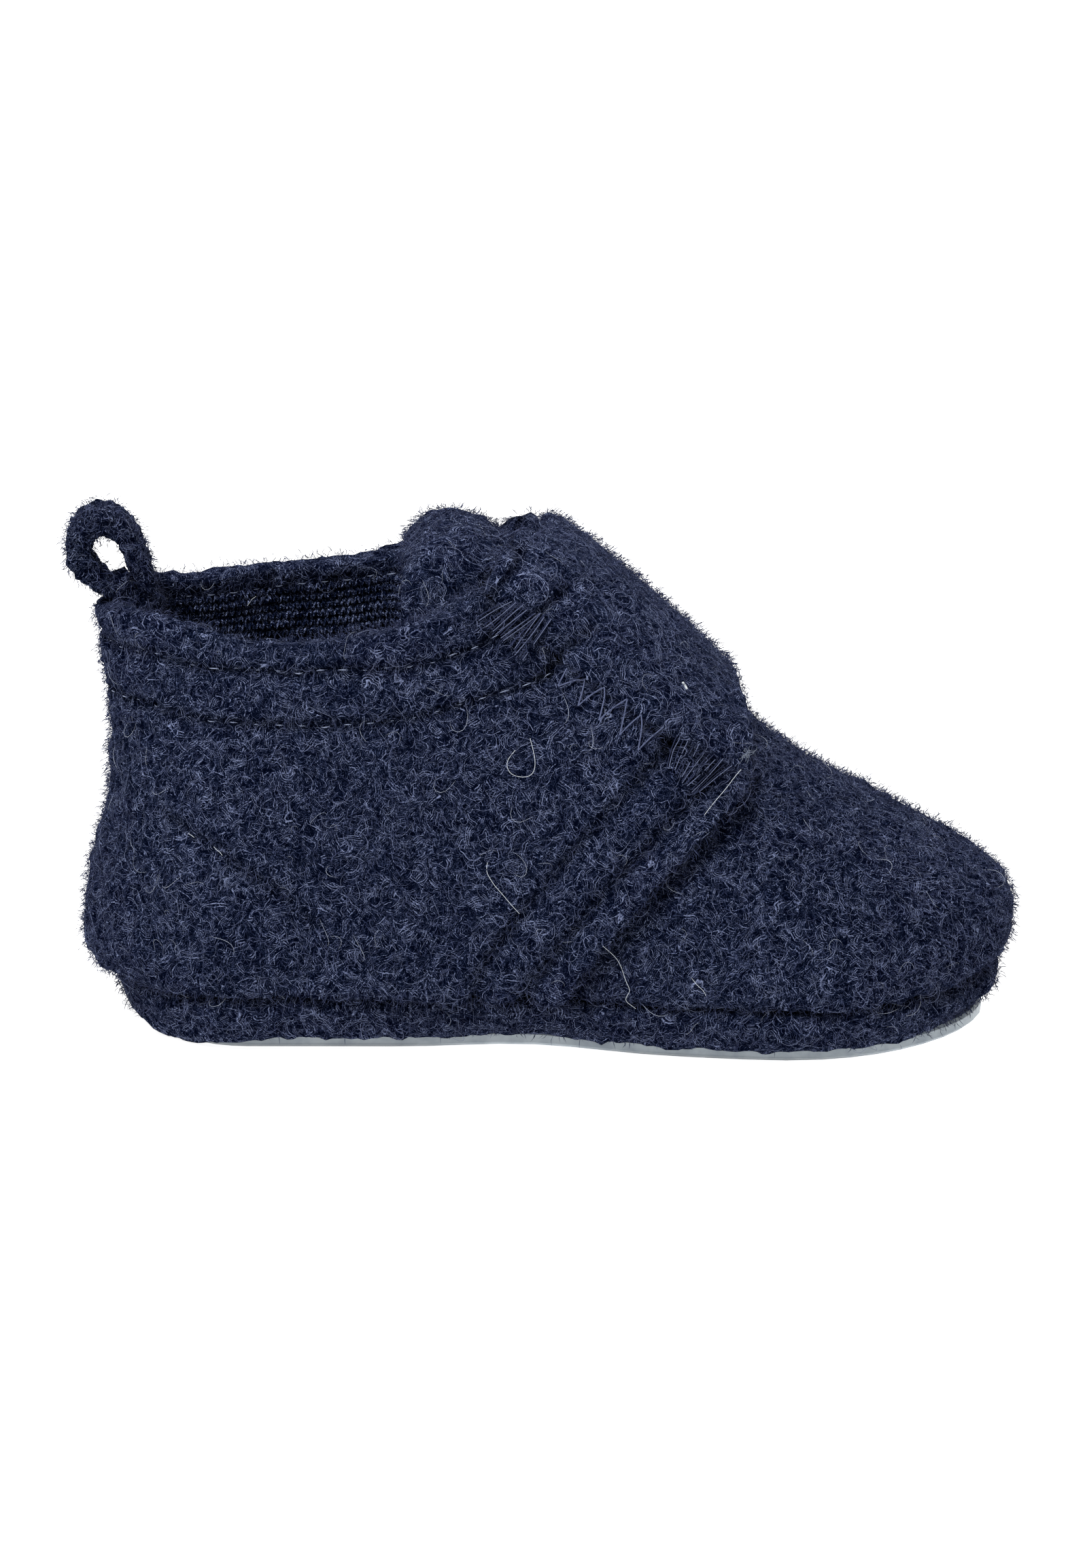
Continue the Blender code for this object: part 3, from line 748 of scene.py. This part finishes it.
def feltPiece(node, material, seed):
    part = felt[node]
    mesh = evenMesh(node)
    points, normals = arrays(mesh)
    last = toLast(points)
    height, shift, shade = worked(node, last, normals)
    height += lumps(last, part, seed)
    placed = points + (normals * height[:, None] + shift) * mm
    placed[:, 2] = np.maximum(placed[:, 2], soleRim["floor"] * mm)  # nothing sinks into the floor
    mesh.vertices.foreach_set("co", placed.ravel())
    mesh.update()
    mesh.shade_smooth()
    mesh.materials.append(material)
    # The painted shade goes to the wool's colour as the crease attribute
    mesh.attributes.new("crease", "FLOAT", "POINT").data.foreach_set("value", shade.astype(np.float32))
    piece = dress(newObject(part["name"], mesh), node)
    print("felt", node, len(mesh.vertices), "points", triangles(mesh), "triangles")
    return piece


# Fibres: thin closed strands scattered over the felt by Geometry Nodes

fibres = {  # kind, colour, how many to a square millimetre, and seed
    "napDark": ("nap", (0.012, 0.016, 0.040, 1), 1.45, 31),
    "napMid": ("nap", (0.034, 0.042, 0.085, 1), 0.80, 37),
    "curlsDark": ("curl", (0.008, 0.011, 0.030, 1), 0.10, 3),
    "curlsMid": ("curl", (0.035, 0.043, 0.090, 1), 0.22, 7),
    "curlsLight": ("curl", (0.080, 0.095, 0.172, 1), 0.22, 11),
    "hairsLight": ("hair", (0.120, 0.140, 0.220, 1), 0.08, 19),
    "hairsPale": ("hair", (0.300, 0.330, 0.400, 1), 0.010, 23),
}
fibreSpread = {"Shortest": 0.7, "Longest": 1.2, "Lean": 0.35}  # scales, and radians either way
strands = {  # lengths, lifts and radii in millimetres, turns in radians
    "nap": {
        "kinds": 16, "steps": 2, "length": (0.6, 1.4), "turn": (0.3, 1.8),
        "lift": (0.30, 1.00), "arch": 0.55, "radius": (0.038, 0.062),
    },
    "curl": {
        "kinds": 20, "steps": 5, "length": (1.4, 3.4), "turn": (1.2, 4.6),
        "lift": (0.10, 0.50), "arch": 1.0, "radius": (0.024, 0.038),
    },
    "hair": {
        "kinds": 12, "steps": 8, "length": (2.8, 6.2), "turn": (0.8, 4.0),
        "lift": (0.20, 0.80), "arch": 1.0, "radius": (0.018, 0.026),
    },
}
bare = {  # where fewer fibres grow
    "inCrease": 0.75,
    "nearFloor": (1.4, 2.4),
    "underRim": 3.0,
    "insole": 7.0,
    "covered": 0.1,  # what is left where felt lies on felt
    "collarLip": (4, 0.8),  # millimetres down the inside, and what grows there
}


def tube(path, radius):
    # Three-sided strand that comes to a point at both ends
    path = np.asarray(path, float)
    along = np.gradient(path, axis=0)
    along /= np.linalg.norm(along, axis=1, keepdims=True)
    side = np.cross(along, (0.13, 0.24, 0.96))
    side /= np.linalg.norm(side, axis=1, keepdims=True)
    up = np.cross(side, along)
    points, faces = [path[0]], []
    for k in range(1, len(path) - 1):
        thick = radius * (1 - 0.45 * abs(2 * k / (len(path) - 1) - 1))
        for corner in range(3):
            turn = corner * 2 * math.pi / 3
            points.append(path[k] + thick * (side[k] * math.cos(turn) + up[k] * math.sin(turn)))
    points.append(path[-1])
    last = len(points) - 1
    rings = len(path) - 2
    for corner in range(3):
        follow = (corner + 1) % 3
        faces.append((0, 1 + follow, 1 + corner))
        for ring in range(rings - 1):
            a, b = 1 + ring * 3, 4 + ring * 3
            faces.append((a + corner, a + follow, b + follow, b + corner))
        faces.append((last - 3 + corner, last - 3 + follow, last))
    return points, faces


def strandKinds(name):
    part = strands[name]
    chance = np.random.default_rng(21)
    kinds = bpy.data.collections.new(name + "Kinds")
    for k in range(part["kinds"]):
        length = chance.uniform(*part["length"])
        lift = chance.uniform(*part["lift"]) * (1.7 if k % 3 == 0 else 1.0)
        turn = chance.uniform(*part["turn"]) * chance.choice((-1, 1))
        t = np.linspace(0, 1, part["steps"] + 1)
        heading = turn * t + 0.5 * np.sin(t * chance.uniform(3, 7))
        step = length / part["steps"]
        x = np.concatenate([[0], np.cumsum(np.cos(heading[:-1]) * step)])
        y = np.concatenate([[0], np.cumsum(np.sin(heading[:-1]) * step)])
        arch = np.sin(math.pi * part["arch"] * t ** chance.uniform(0.7, 1.6))
        z = lift * arch + 0.25 * lift * t - 0.06
        path = np.column_stack([x - x.mean(), y - y.mean(), z])
        points, faces = tube(path * mm, chance.uniform(*part["radius"]) * mm)
        label = "%s%02d" % (name, k)
        kinds.objects.link(bpy.data.objects.new(label, meshFrom(label, points, faces)))
    return kinds


def nodeTree(name, **inputs):
    # A tree with named inputs of these kinds, their identifiers, and its two ends
    tree = bpy.data.node_groups.new(name, "GeometryNodeTree")
    sockets = {}
    for label, kind in {"Geometry": "Geometry", **inputs, "Material": "Material"}.items():
        socket = tree.interface.new_socket(name=label, in_out="INPUT", socket_type="NodeSocket" + kind)
        sockets[label] = socket.identifier
    tree.interface.new_socket(name="Geometry", in_out="OUTPUT", socket_type="NodeSocketGeometry")
    return tree, sockets, addNode(tree, "NodeGroupInput").outputs, addNode(tree, "NodeGroupOutput").inputs


def finishTree(tree, given, result, geometry):
    real = wired(tree, "GeometryNodeRealizeInstances", {"Geometry": geometry})
    inputs = {"Geometry": real["Geometry"], "Material": given["Material"]}
    painted = wired(tree, "GeometryNodeSetMaterial", inputs)
    tree.links.new(painted["Geometry"], result["Geometry"])


def randomBetween(tree, given, low, high, kind="FLOAT"):
    first = 4 if kind == "INT" else 2
    inputs = {first: low, first + 1: high, "Seed": given["Seed"]}
    node = wired(tree, "FunctionNodeRandomValue", inputs, data_type=kind)
    return node[2 if kind == "INT" else 1]


def fibreTree():
    tree, sockets, given, result = nodeTree(
        "scatterFibres", Kinds="Collection", Density="Float", Seed="Int",
        Shortest="Float", Longest="Float", Lean="Float",
    )
    weight = wired(tree, "GeometryNodeInputNamedAttribute", {"Name": "fuzz"}, data_type="FLOAT")
    amount = mathNode(tree, "MULTIPLY", weight["Attribute"], given["Density"])
    inputs = {"Mesh": given["Geometry"], "Density": amount, "Seed": given["Seed"]}
    scatter = wired(tree, "GeometryNodeDistributePointsOnFaces", inputs, distribute_method="RANDOM")
    inputs = {"Collection": given["Kinds"], "Separate Children": True, "Reset Children": True}
    kinds = wired(tree, "GeometryNodeCollectionInfo", inputs)
    minus = mathNode(tree, "MULTIPLY", given["Lean"], -1.0)
    inputs = {
        "X": randomBetween(tree, given, minus, given["Lean"]),
        "Z": randomBetween(tree, given, 0.0, 6.2832),
    }
    turn = wired(tree, "ShaderNodeCombineXYZ", inputs)
    asRotation = wired(tree, "FunctionNodeEulerToRotation", {"Euler": turn["Vector"]})
    inputs = {"Rotation": scatter["Rotation"], "Rotate By": asRotation["Rotation"]}
    turned = wired(tree, "FunctionNodeRotateRotation", inputs, rotation_space="LOCAL")
    inputs = {
        "Points": scatter["Points"],
        "Instance": kinds["Instances"],
        "Pick Instance": True,
        "Instance Index": randomBetween(tree, given, 0, 1000, "INT"),
        "Rotation": turned["Rotation"],
        "Scale": randomBetween(tree, given, given["Shortest"], given["Longest"]),
    }
    place = wired(tree, "GeometryNodeInstanceOnPoints", inputs)
    finishTree(tree, given, result, place["Instances"])
    return tree, sockets


def grown(name, ground, tree, sockets, values):
    # Runs one tree on a mesh and keeps what it makes as a plain mesh
    carrier = newObject(name + "Ground", ground)
    modifier = carrier.modifiers.new("grow", "NODES")
    modifier.node_group = tree
    for socket, value in values.items():
        modifier[sockets[socket]] = value
    mesh = evaluated(carrier)
    carrier.modifiers.remove(modifier)
    bpy.data.objects.remove(carrier)
    mesh.name = name
    print("grown", name, triangles(mesh), "triangles")
    return dress(newObject(name, mesh))


def fuzzWeight(node, points, normals, shade, skin):
    z, facingUp = points[:, 2], normals[:, 2]
    weight = (1 - bare["inCrease"] * shade) * between(z, *bare["nearFloor"])
    weight[(z < bare["underRim"]) & (facingUp < -0.2)] = 0.0
    facing = outward(points, normals)
    if node == "upper":
        down, lip = bare["collarLip"]
        depth = collarHeight(np.clip(points[:, 0], -12, 53)) - z
        weight *= between(facing, -2, 2)
        weight[(facing < 0) & (depth < down)] = lip
    if node == "felt_sole":
        weight[(np.abs(facingUp) > 0.8) & (z < bare["insole"])] = 0.0
        weight[facing < 0] = 0.0
    if node == "tongue":
        weight[facingUp < -0.2] *= bare["covered"]
    for k in np.flatnonzero(weight > 0):
        away = Vector(normals[k])
        if skin.tree.ray_cast(fromLast(*points[k]) + away * 0.3 * mm, away, 4.0 * mm)[0]:
            weight[k] *= bare["covered"]
    return weight


def makeFibres(pieces, skin):
    work = bmesh.new()
    weights = []
    for node, piece in pieces.items():
        points, normals = arrays(piece.data)
        shade = np.empty(len(points), np.float32)
        piece.data.attributes["crease"].data.foreach_get("value", shade)
        weights.append(fuzzWeight(node, toLast(points), normals, shade, skin))
        work.from_mesh(piece.data)
    ground = bpy.data.meshes.new("feltGround")
    work.to_mesh(ground)
    work.free()
    fuzz = ground.attributes.new("fuzz", "FLOAT", "POINT")
    fuzz.data.foreach_set("value", np.concatenate(weights).astype(np.float32))
    kinds = {name: strandKinds(name) for name in strands}
    tree, sockets = fibreTree()
    for name, (kind, colour, perSquare, seed) in fibres.items():
        paint = plainMaterial(name + "Wool", colour, 0.7, 0.06)
        values = {"Kinds": kinds[kind], "Density": perSquare / mm**2, "Seed": seed, "Material": paint}
        grown(name, ground, tree, sockets, {**values, **fibreSpread})
    for collection in kinds.values():
        for kind in list(collection.objects):
            bpy.data.objects.remove(kind)
        bpy.data.collections.remove(collection)


# Threads and stitches, laid on the finished felt

sewing = {
    "pitch": 3.1,
    "seed": 5,
    "scales": (0.35, 1.0),
    "rowStitch": (1.35, 0.08),  # length and radius in millimetres
    "rowColour": (0.165, 0.193, 0.275, 1),
    "rowLift": 0.45,
    "nearFrom": 286,  # the pixel and the millimetres where the rows round the heel take over
    "farFrom": 20,
    "heelTurn": (96, 228),  # degrees
    # the edge rows' stitches in a darker copy of the thread: painted shade, as they lie sunk in their grooves
    "shadedSunkColour": (0.020, 0.025, 0.055, 1),
    "sunkLift": 0.05,
    "zigzag": {"radius": 0.10, "lift": 0.75, "colour": (0.070, 0.083, 0.145, 1)},
    # lighter and darker copies of one satin thread: painted highlights, and painted shade between the threads
    "barDark": {"radius": 0.065, "lift": 0.50, "colour": (0.018, 0.023, 0.052, 1)},
    "barLight": {"radius": 0.060, "lift": 0.55, "colour": (0.085, 0.100, 0.165, 1)},
    "zigzagTops": [  # photograph's pixels, as what follows
        (831, 989), (860, 1000), (887, 1011), (919, 1031), (941, 1051), (971, 1069)
    ],
    "zigzagFeet": [(820, 1011), (847, 1040), (879, 1059), (907, 1083), (934, 1103)],
    "satin": [  # first thread and last thread of each bar, foot to top
        {
            "count": 22, "reach": 3.0,
            "first": ((707, 914), (752, 886)), "last": ((766, 972), (809, 918)),
        },
        {
            "count": 17, "reach": 2.4,
            "first": ((980, 1130), (993, 1083)), "last": ((1022, 1168), (1074, 1128)),
        },
    ],
    "satinJitter": 2.0,
    "satinShade": 0.6,
}
straysAndGlints = {
    "colour": (0.42, 0.45, 0.48, 1),
    "radius": 0.036,
    "lift": 0.7,
    "paths": [  # photograph's pixels
        [(779, 1086), (789, 1118), (787, 1136), (775, 1144), (750, 1140), (743, 1120), (757, 1104)],
        [(721, 1264), (718, 1280), (730, 1300), (743, 1314), (761, 1336)],
        [(886, 1386), (911, 1407), (921, 1439), (929, 1450), (918, 1464), (934, 1484)],
        [(1082, 1138), (1066, 1158), (1050, 1178), (1032, 1200)],
        [(1016, 1434), (1036, 1457)],
        [(362, 888), (368, 880), (375, 876)],
        # these two stand for glints on the stitches of the heel crease: painted highlights
        [(285, 1225), (295, 1231)],
        [(321, 1247), (334, 1254)],
    ],
    "specks": [[(997, 1010), (1000, 1014), (1003, 1019)]],
    "speckRadius": 0.16,
}
lint = {
    "place": (1091, 1114), "spread": 4.5, "count": 22,
    "colour": (0.150, 0.175, 0.225, 1), "radius": 0.024,
}
tape = {  # knitted tape sewn inside the collar
    "rows": 7,
    "first": 3.6,  # millimetres below the collar edge
    "rowStep": 1.2,
    "pitch": 0.95,
    "seed": 9,
    "scales": (0.85, 1.2),
    "lift": 0.10,
    "loop": {"wide": 0.42, "tall": 0.66, "radius": 0.22},
    "reach": 43.0,  # how far forward it runs
    "seam": 0.9,  # how far above its first row it is sewn
}
heelCentre = 22.0  # the heel's round plan, in millimetres
heelRadius = 20.0
farOff = 90.0


class FeltSkin:
    def __init__(self, pieces):
        points, faces, first = [], [], 0
        for piece in pieces:
            points += [v.co.copy() for v in piece.data.vertices]
            faces += [[k + first for k in p.vertices] for p in piece.data.polygons]
            first = len(points)
        self.tree = BVHTree.FromPolygons(points, faces)

    def hit(self, origin, direction):
        place, normal, _, _ = self.tree.ray_cast(origin, direction)
        return (place, normal) if place else None

    def fromSide(self, x, z, side):
        return self.hit(fromLast(x, side * farOff, z), Vector((0, -side, 0)))

    def fromPhoto(self, px, py):
        return self.hit(photoRay(px, py), lookAlong)

    def fromHeel(self, angle, z):
        out = Vector((math.cos(angle), math.sin(angle), 0))
        return self.hit(fromLast(heelCentre, 0, z) + out * farOff * mm, -out)

    def laid(self, pixels, passes):
        # A thread through pixels of the photograph, even in its depth
        return eased([self.fromPhoto(*p) for p in pixels], passes, lookAlong)

    def insideCollar(self, depth):
        # A run along the collar's inner wall at one depth below its edge
        run = []
        for side in (1, -1):
            half = []
            for x in np.linspace(tape["reach"], heelCentre, 24):
                z = belowCollar(x, side * heelRadius, depth)
                half.append(self.hit(fromLast(x, 0, z), Vector((0, side, 0))))
            for turn in np.linspace(0, math.pi / 2, 24)[1:]:
                x, y = -math.sin(turn), side * math.cos(turn)
                z = belowCollar(heelCentre + heelRadius * x, heelRadius * y, depth)
                half.append(self.hit(fromLast(heelCentre, 0, z), Vector((x, y, 0))))
            run += half if side > 0 else half[::-1][1:]
        return run


def belowCollar(x, y, depth):
    z = float(collarHeight(x)) - depth
    return z - float(collarDip(np.array([[x, y, z]]))[0])


def eased(path, passes, along=None):
    # Takes the felt's small bumps out of a path laid on it, or out of its depth along one direction
    path = [p for p in path if p]
    places, normals = (np.array([list(p[k]) for p in path]) for k in (0, 1))
    smooth = smoothed(places, passes)
    if along:
        smooth = places + ((smooth - places) @ np.array(along))[:, None] * np.array(along)
    normals = smoothed(normals, passes)
    return [(Vector(place), Vector(normal).normalized()) for place, normal in zip(smooth, normals)]


def spread(a, b, count):
    t = np.linspace(0, 1, count)[:, None]
    return np.array(a, float) * (1 - t) + np.array(b, float) * t


def smoothPath(corners, count=24):
    # A line through a few pixels, rounded at its corners
    corners = np.array(corners, float)
    run = np.linspace(0, len(corners) - 1, count)
    return smoothed(np.column_stack([np.interp(run, range(len(corners)), c) for c in corners.T]), 4)


def pathMesh(name, paths, lift):
    # Chains of edges, lifted off the felt, that carry the felt's normal
    points, edges, normals = [], [], []
    for path in paths:
        path = [p for p in path if p]
        for k, (place, normal) in enumerate(path):
            if k:
                edges.append((len(points) - 1, len(points)))
            points.append(place + normal * lift * mm)
            normals.append(normal)
    mesh = meshFrom(name, points, [], edges)
    layer = mesh.attributes.new("away", "FLOAT_VECTOR", "POINT")
    layer.data.foreach_set("vector", np.array([list(n) for n in normals]).ravel())
    return mesh


def threadTree():
    tree, sockets, given, result = nodeTree("layThread", Radius="Float", Sides="Int")
    line = wired(tree, "GeometryNodeMeshToCurve", {"Mesh": given["Geometry"]})
    inputs = {"Radius": given["Radius"], "Resolution": given["Sides"]}
    ring = wired(tree, "GeometryNodeCurvePrimitiveCircle", inputs, mode="RADIUS")
    inputs = {"Curve": line["Curve"], "Profile Curve": ring["Curve"], "Fill Caps": True}
    wrap = wired(tree, "GeometryNodeCurveToMesh", inputs)
    finishTree(tree, given, result, wrap["Mesh"])
    return tree, sockets


def stitchTree():
    tree, sockets, given, result = nodeTree(
        "sewRow", Stitch="Object", Pitch="Float", Seed="Int", Smallest="Float", Largest="Float"
    )
    line = wired(tree, "GeometryNodeMeshToCurve", {"Mesh": given["Geometry"]})
    inputs = {"Curve": line["Curve"], "Length": given["Pitch"]}
    spaced = wired(tree, "GeometryNodeResampleCurve", inputs, mode="LENGTH")
    stitch = wired(tree, "GeometryNodeObjectInfo", {"Object": given["Stitch"]})
    away = wired(tree, "GeometryNodeInputNamedAttribute", {"Name": "away"}, data_type="FLOAT_VECTOR")
    inputs = {"Vector": away["Attribute"]}
    stand = wired(tree, "FunctionNodeAlignRotationToVector", inputs, axis="Z")
    tangent = addNode(tree, "GeometryNodeInputTangent")
    inputs = {"Rotation": stand["Rotation"], "Vector": tangent.outputs["Tangent"]}
    follow = wired(tree, "FunctionNodeAlignRotationToVector", inputs, axis="X", pivot_axis="Z")
    inputs = {
        "Points": spaced["Curve"],
        "Instance": stitch["Geometry"],
        "Rotation": follow["Rotation"],
        "Scale": randomBetween(tree, given, given["Smallest"], given["Largest"]),
    }
    place = wired(tree, "GeometryNodeInstanceOnPoints", inputs)
    finishTree(tree, given, result, place["Instances"])
    return tree, sockets


def ringRound(middle, across, thick, sides):
    turns = [2 * math.pi * s / sides for s in range(sides)]
    up = Vector((0, 0, thick))
    return [(middle + across * thick * math.cos(a) + up * math.sin(a)) * mm for a in turns]


def lofted(name, grains):
    # Closed grains, each a run of rings of points
    points, faces = [], []
    for rings in grains:
        first, sides = len(points), len(rings[0])
        points += [p for ring in rings for p in ring]
        for k in range(len(rings) - 1):
            a, b = first + k * sides, first + (k + 1) * sides
            for s in range(sides):
                n = (s + 1) % sides
                faces.append((a + s, a + n, b + n, b + s))
        faces.append(tuple(range(first + sides - 1, first - 1, -1)))
        faces.append(tuple(range(len(points) - sides, len(points))))
    mesh = meshFrom(name, points, faces)
    work = bmesh.new()
    work.from_mesh(mesh)
    bmesh.ops.recalc_face_normals(work, faces=work.faces)
    work.to_mesh(mesh)
    work.free()
    return bpy.data.objects.new(name, mesh)


def stitchShape():
    length, radius = sewing["rowStitch"]
    rings = []
    for t in np.linspace(0, 1, 7):
        arch = math.sin(math.pi * t)
        middle = Vector((length * (t - 0.5), 0, 0.22 * arch - 0.16))
        rings.append(ringRound(middle, Vector((0, 1, 0)), radius * (0.35 + 0.65 * arch), 6))
    return lofted("stitchShape", [rings])


def knitShape():
    # One knitted loop: two fat grains that lean together
    loop = tape["loop"]
    grains = []
    for lean in (-1, 1):
        rings = []
        for t in np.linspace(0, 1, 4):
            arch = math.sin(math.pi * t)
            x = lean * loop["wide"] * (0.15 + 0.85 * t)
            middle = Vector((x, loop["tall"] * (2 * t - 1), 0.16 * arch))
            rings.append(ringRound(middle, Vector((1, 0, 0)), loop["radius"] * (0.3 + 0.7 * arch), 4))
        grains.append(rings)
    return lofted("knitShape", grains)


def sewn(name, rows, lift, part, shape, material):
    # One shape repeated along rows on the felt
    tree, sockets = stitchTree()
    smallest, largest = part["scales"]
    values = {"Stitch": shape, "Pitch": part["pitch"] * mm, "Seed": part["seed"]}
    values.update({"Smallest": smallest, "Largest": largest, "Material": material})
    grown(name, pathMesh(name + "Rows", rows, lift), tree, sockets, values)


def makeTape(skin, material):
    rows = [eased(skin.insideCollar(tape["first"] + k * tape["rowStep"]), 6) for k in range(tape["rows"])]
    shape = knitShape()
    sewn("collarTape", rows, tape["lift"], tape, shape, material)
    bpy.data.objects.remove(shape)


def makeRows(skin):
    rows = [eased(skin.insideCollar(tape["first"] - tape["seam"]), 6)]  # holds the tape
    turns = np.linspace(*np.radians(sewing["heelTurn"]), 34)
    for nearRow, farRow in zip(lines["nearRows"], lines["farRows"]):
        rows.append([skin.fromPhoto(*p) for p in rounded(nearRow, 60, 3) if p[0] > sewing["nearFrom"]])
        row = rounded(farRow, 60, 8)
        rows.append([skin.fromSide(x, z, 1) for x, z in row if x >= sewing["farFrom"]])
        rows.append([skin.fromHeel(turn, row[0, 1]) for turn in turns])
    sunk = []
    for distance in lines["edgeRows"]:
        for side in (-1, 1):
            sunk.append([skin.fromSide(x, z, side) for x, z in edgeRow(distance)])
    shape = stitchShape()
    rowThread = plainMaterial("rowThread", sewing["rowColour"], 0.5, 0.3)
    sewn("collarStitches", rows, sewing["rowLift"], sewing, shape, rowThread)
    # a darker copy of the row thread, for the painted shade in the edge grooves
    shadedSunkThread = plainMaterial("shadedSunkThread", sewing["shadedSunkColour"], 0.6, 0.2)
    sewn("edgeStitches", sunk, sewing["sunkLift"], sewing, shape, shadedSunkThread)
    bpy.data.objects.remove(shape)


def makeThreads(skin):
    # The zigzag along the strap's seam, and the satin bar at each of its ends
    tops, feet = sewing["zigzagTops"], sewing["zigzagFeet"]
    corners = [p for pair in zip(tops, feet) for p in pair] + tops[len(feet):]
    zigzag = [skin.laid(spread(a, b, 9), 12) for a, b in zip(corners[:-1], corners[1:])]
    chance = np.random.default_rng(8)
    # Satin threads split into lit and shaded copies of one thread, for painted highlights and shade
    bars = {"barDark": [], "barLight": []}
    for bar in sewing["satin"]:
        foot = spread(bar["first"][0], bar["last"][0], bar["count"])
        top = spread(bar["first"][1], bar["last"][1], bar["count"])
        for k, (a, b) in enumerate(zip(foot, top)):
            ends = np.array([a, b]) + chance.normal(0, sewing["satinJitter"], (2, 2))
            bars["barLight" if k % 5 in (1, 3) else "barDark"].append(skin.laid(spread(*ends, 9), 12))
    tree, sockets = threadTree()
    for name, runs in (("zigzag", zigzag), *bars.items()):
        part = sewing[name]
        paint = plainMaterial(name + "Thread", part["colour"], 0.6, 0.05)
        values = {"Radius": part["radius"] * mm, "Sides": 6, "Material": paint}
        grown(name, pathMesh(name + "Path", runs, part["lift"]), tree, sockets, values)


def makeStrays(skin):
    tree, sockets = threadTree()
    pale = plainMaterial("strayWoolAndGlints", straysAndGlints["colour"], 0.6)
    for name, radius in (("paths", "radius"), ("specks", "speckRadius")):
        runs = [skin.laid(smoothPath(path), 24) for path in straysAndGlints[name]]
        values = {"Radius": straysAndGlints[radius] * mm, "Sides": 5, "Material": pale}
        grown("stray" + name.capitalize(), pathMesh("stray", runs, straysAndGlints["lift"]), tree, sockets, values)
    chance = np.random.default_rng(14)
    runs = []
    for _ in range(lint["count"]):
        steps = chance.normal(0, lint["spread"], (4, 2))
        corners = np.array(lint["place"]) + np.cumsum(steps, axis=0) * 0.7
        runs.append(skin.laid(smoothPath(corners, 10), 10))
    grey = plainMaterial("lintWool", lint["colour"], 0.8)
    values = {"Radius": lint["radius"] * mm, "Sides": 4, "Material": grey}
    grown("lint", pathMesh("lintPaths", runs, straysAndGlints["lift"]), tree, sockets, values)


makeCamera()
makeStudio()
materials = {name: woolMaterial(name) for name in wools}
pieces = {}
for seed, node in enumerate(felt):
    pieces[node] = feltPiece(node, materials[felt[node]["wool"]], seed)
skin = FeltSkin(pieces.values())
makeFibres(pieces, skin)
makeTape(skin, materials["tapeWool"])
makeRows(skin)
makeThreads(skin)
makeStrays(skin)
outsole = frame["nodes"]["outsole"]
outsole.data.materials.clear()
outsole.data.materials.append(rubberMaterial())
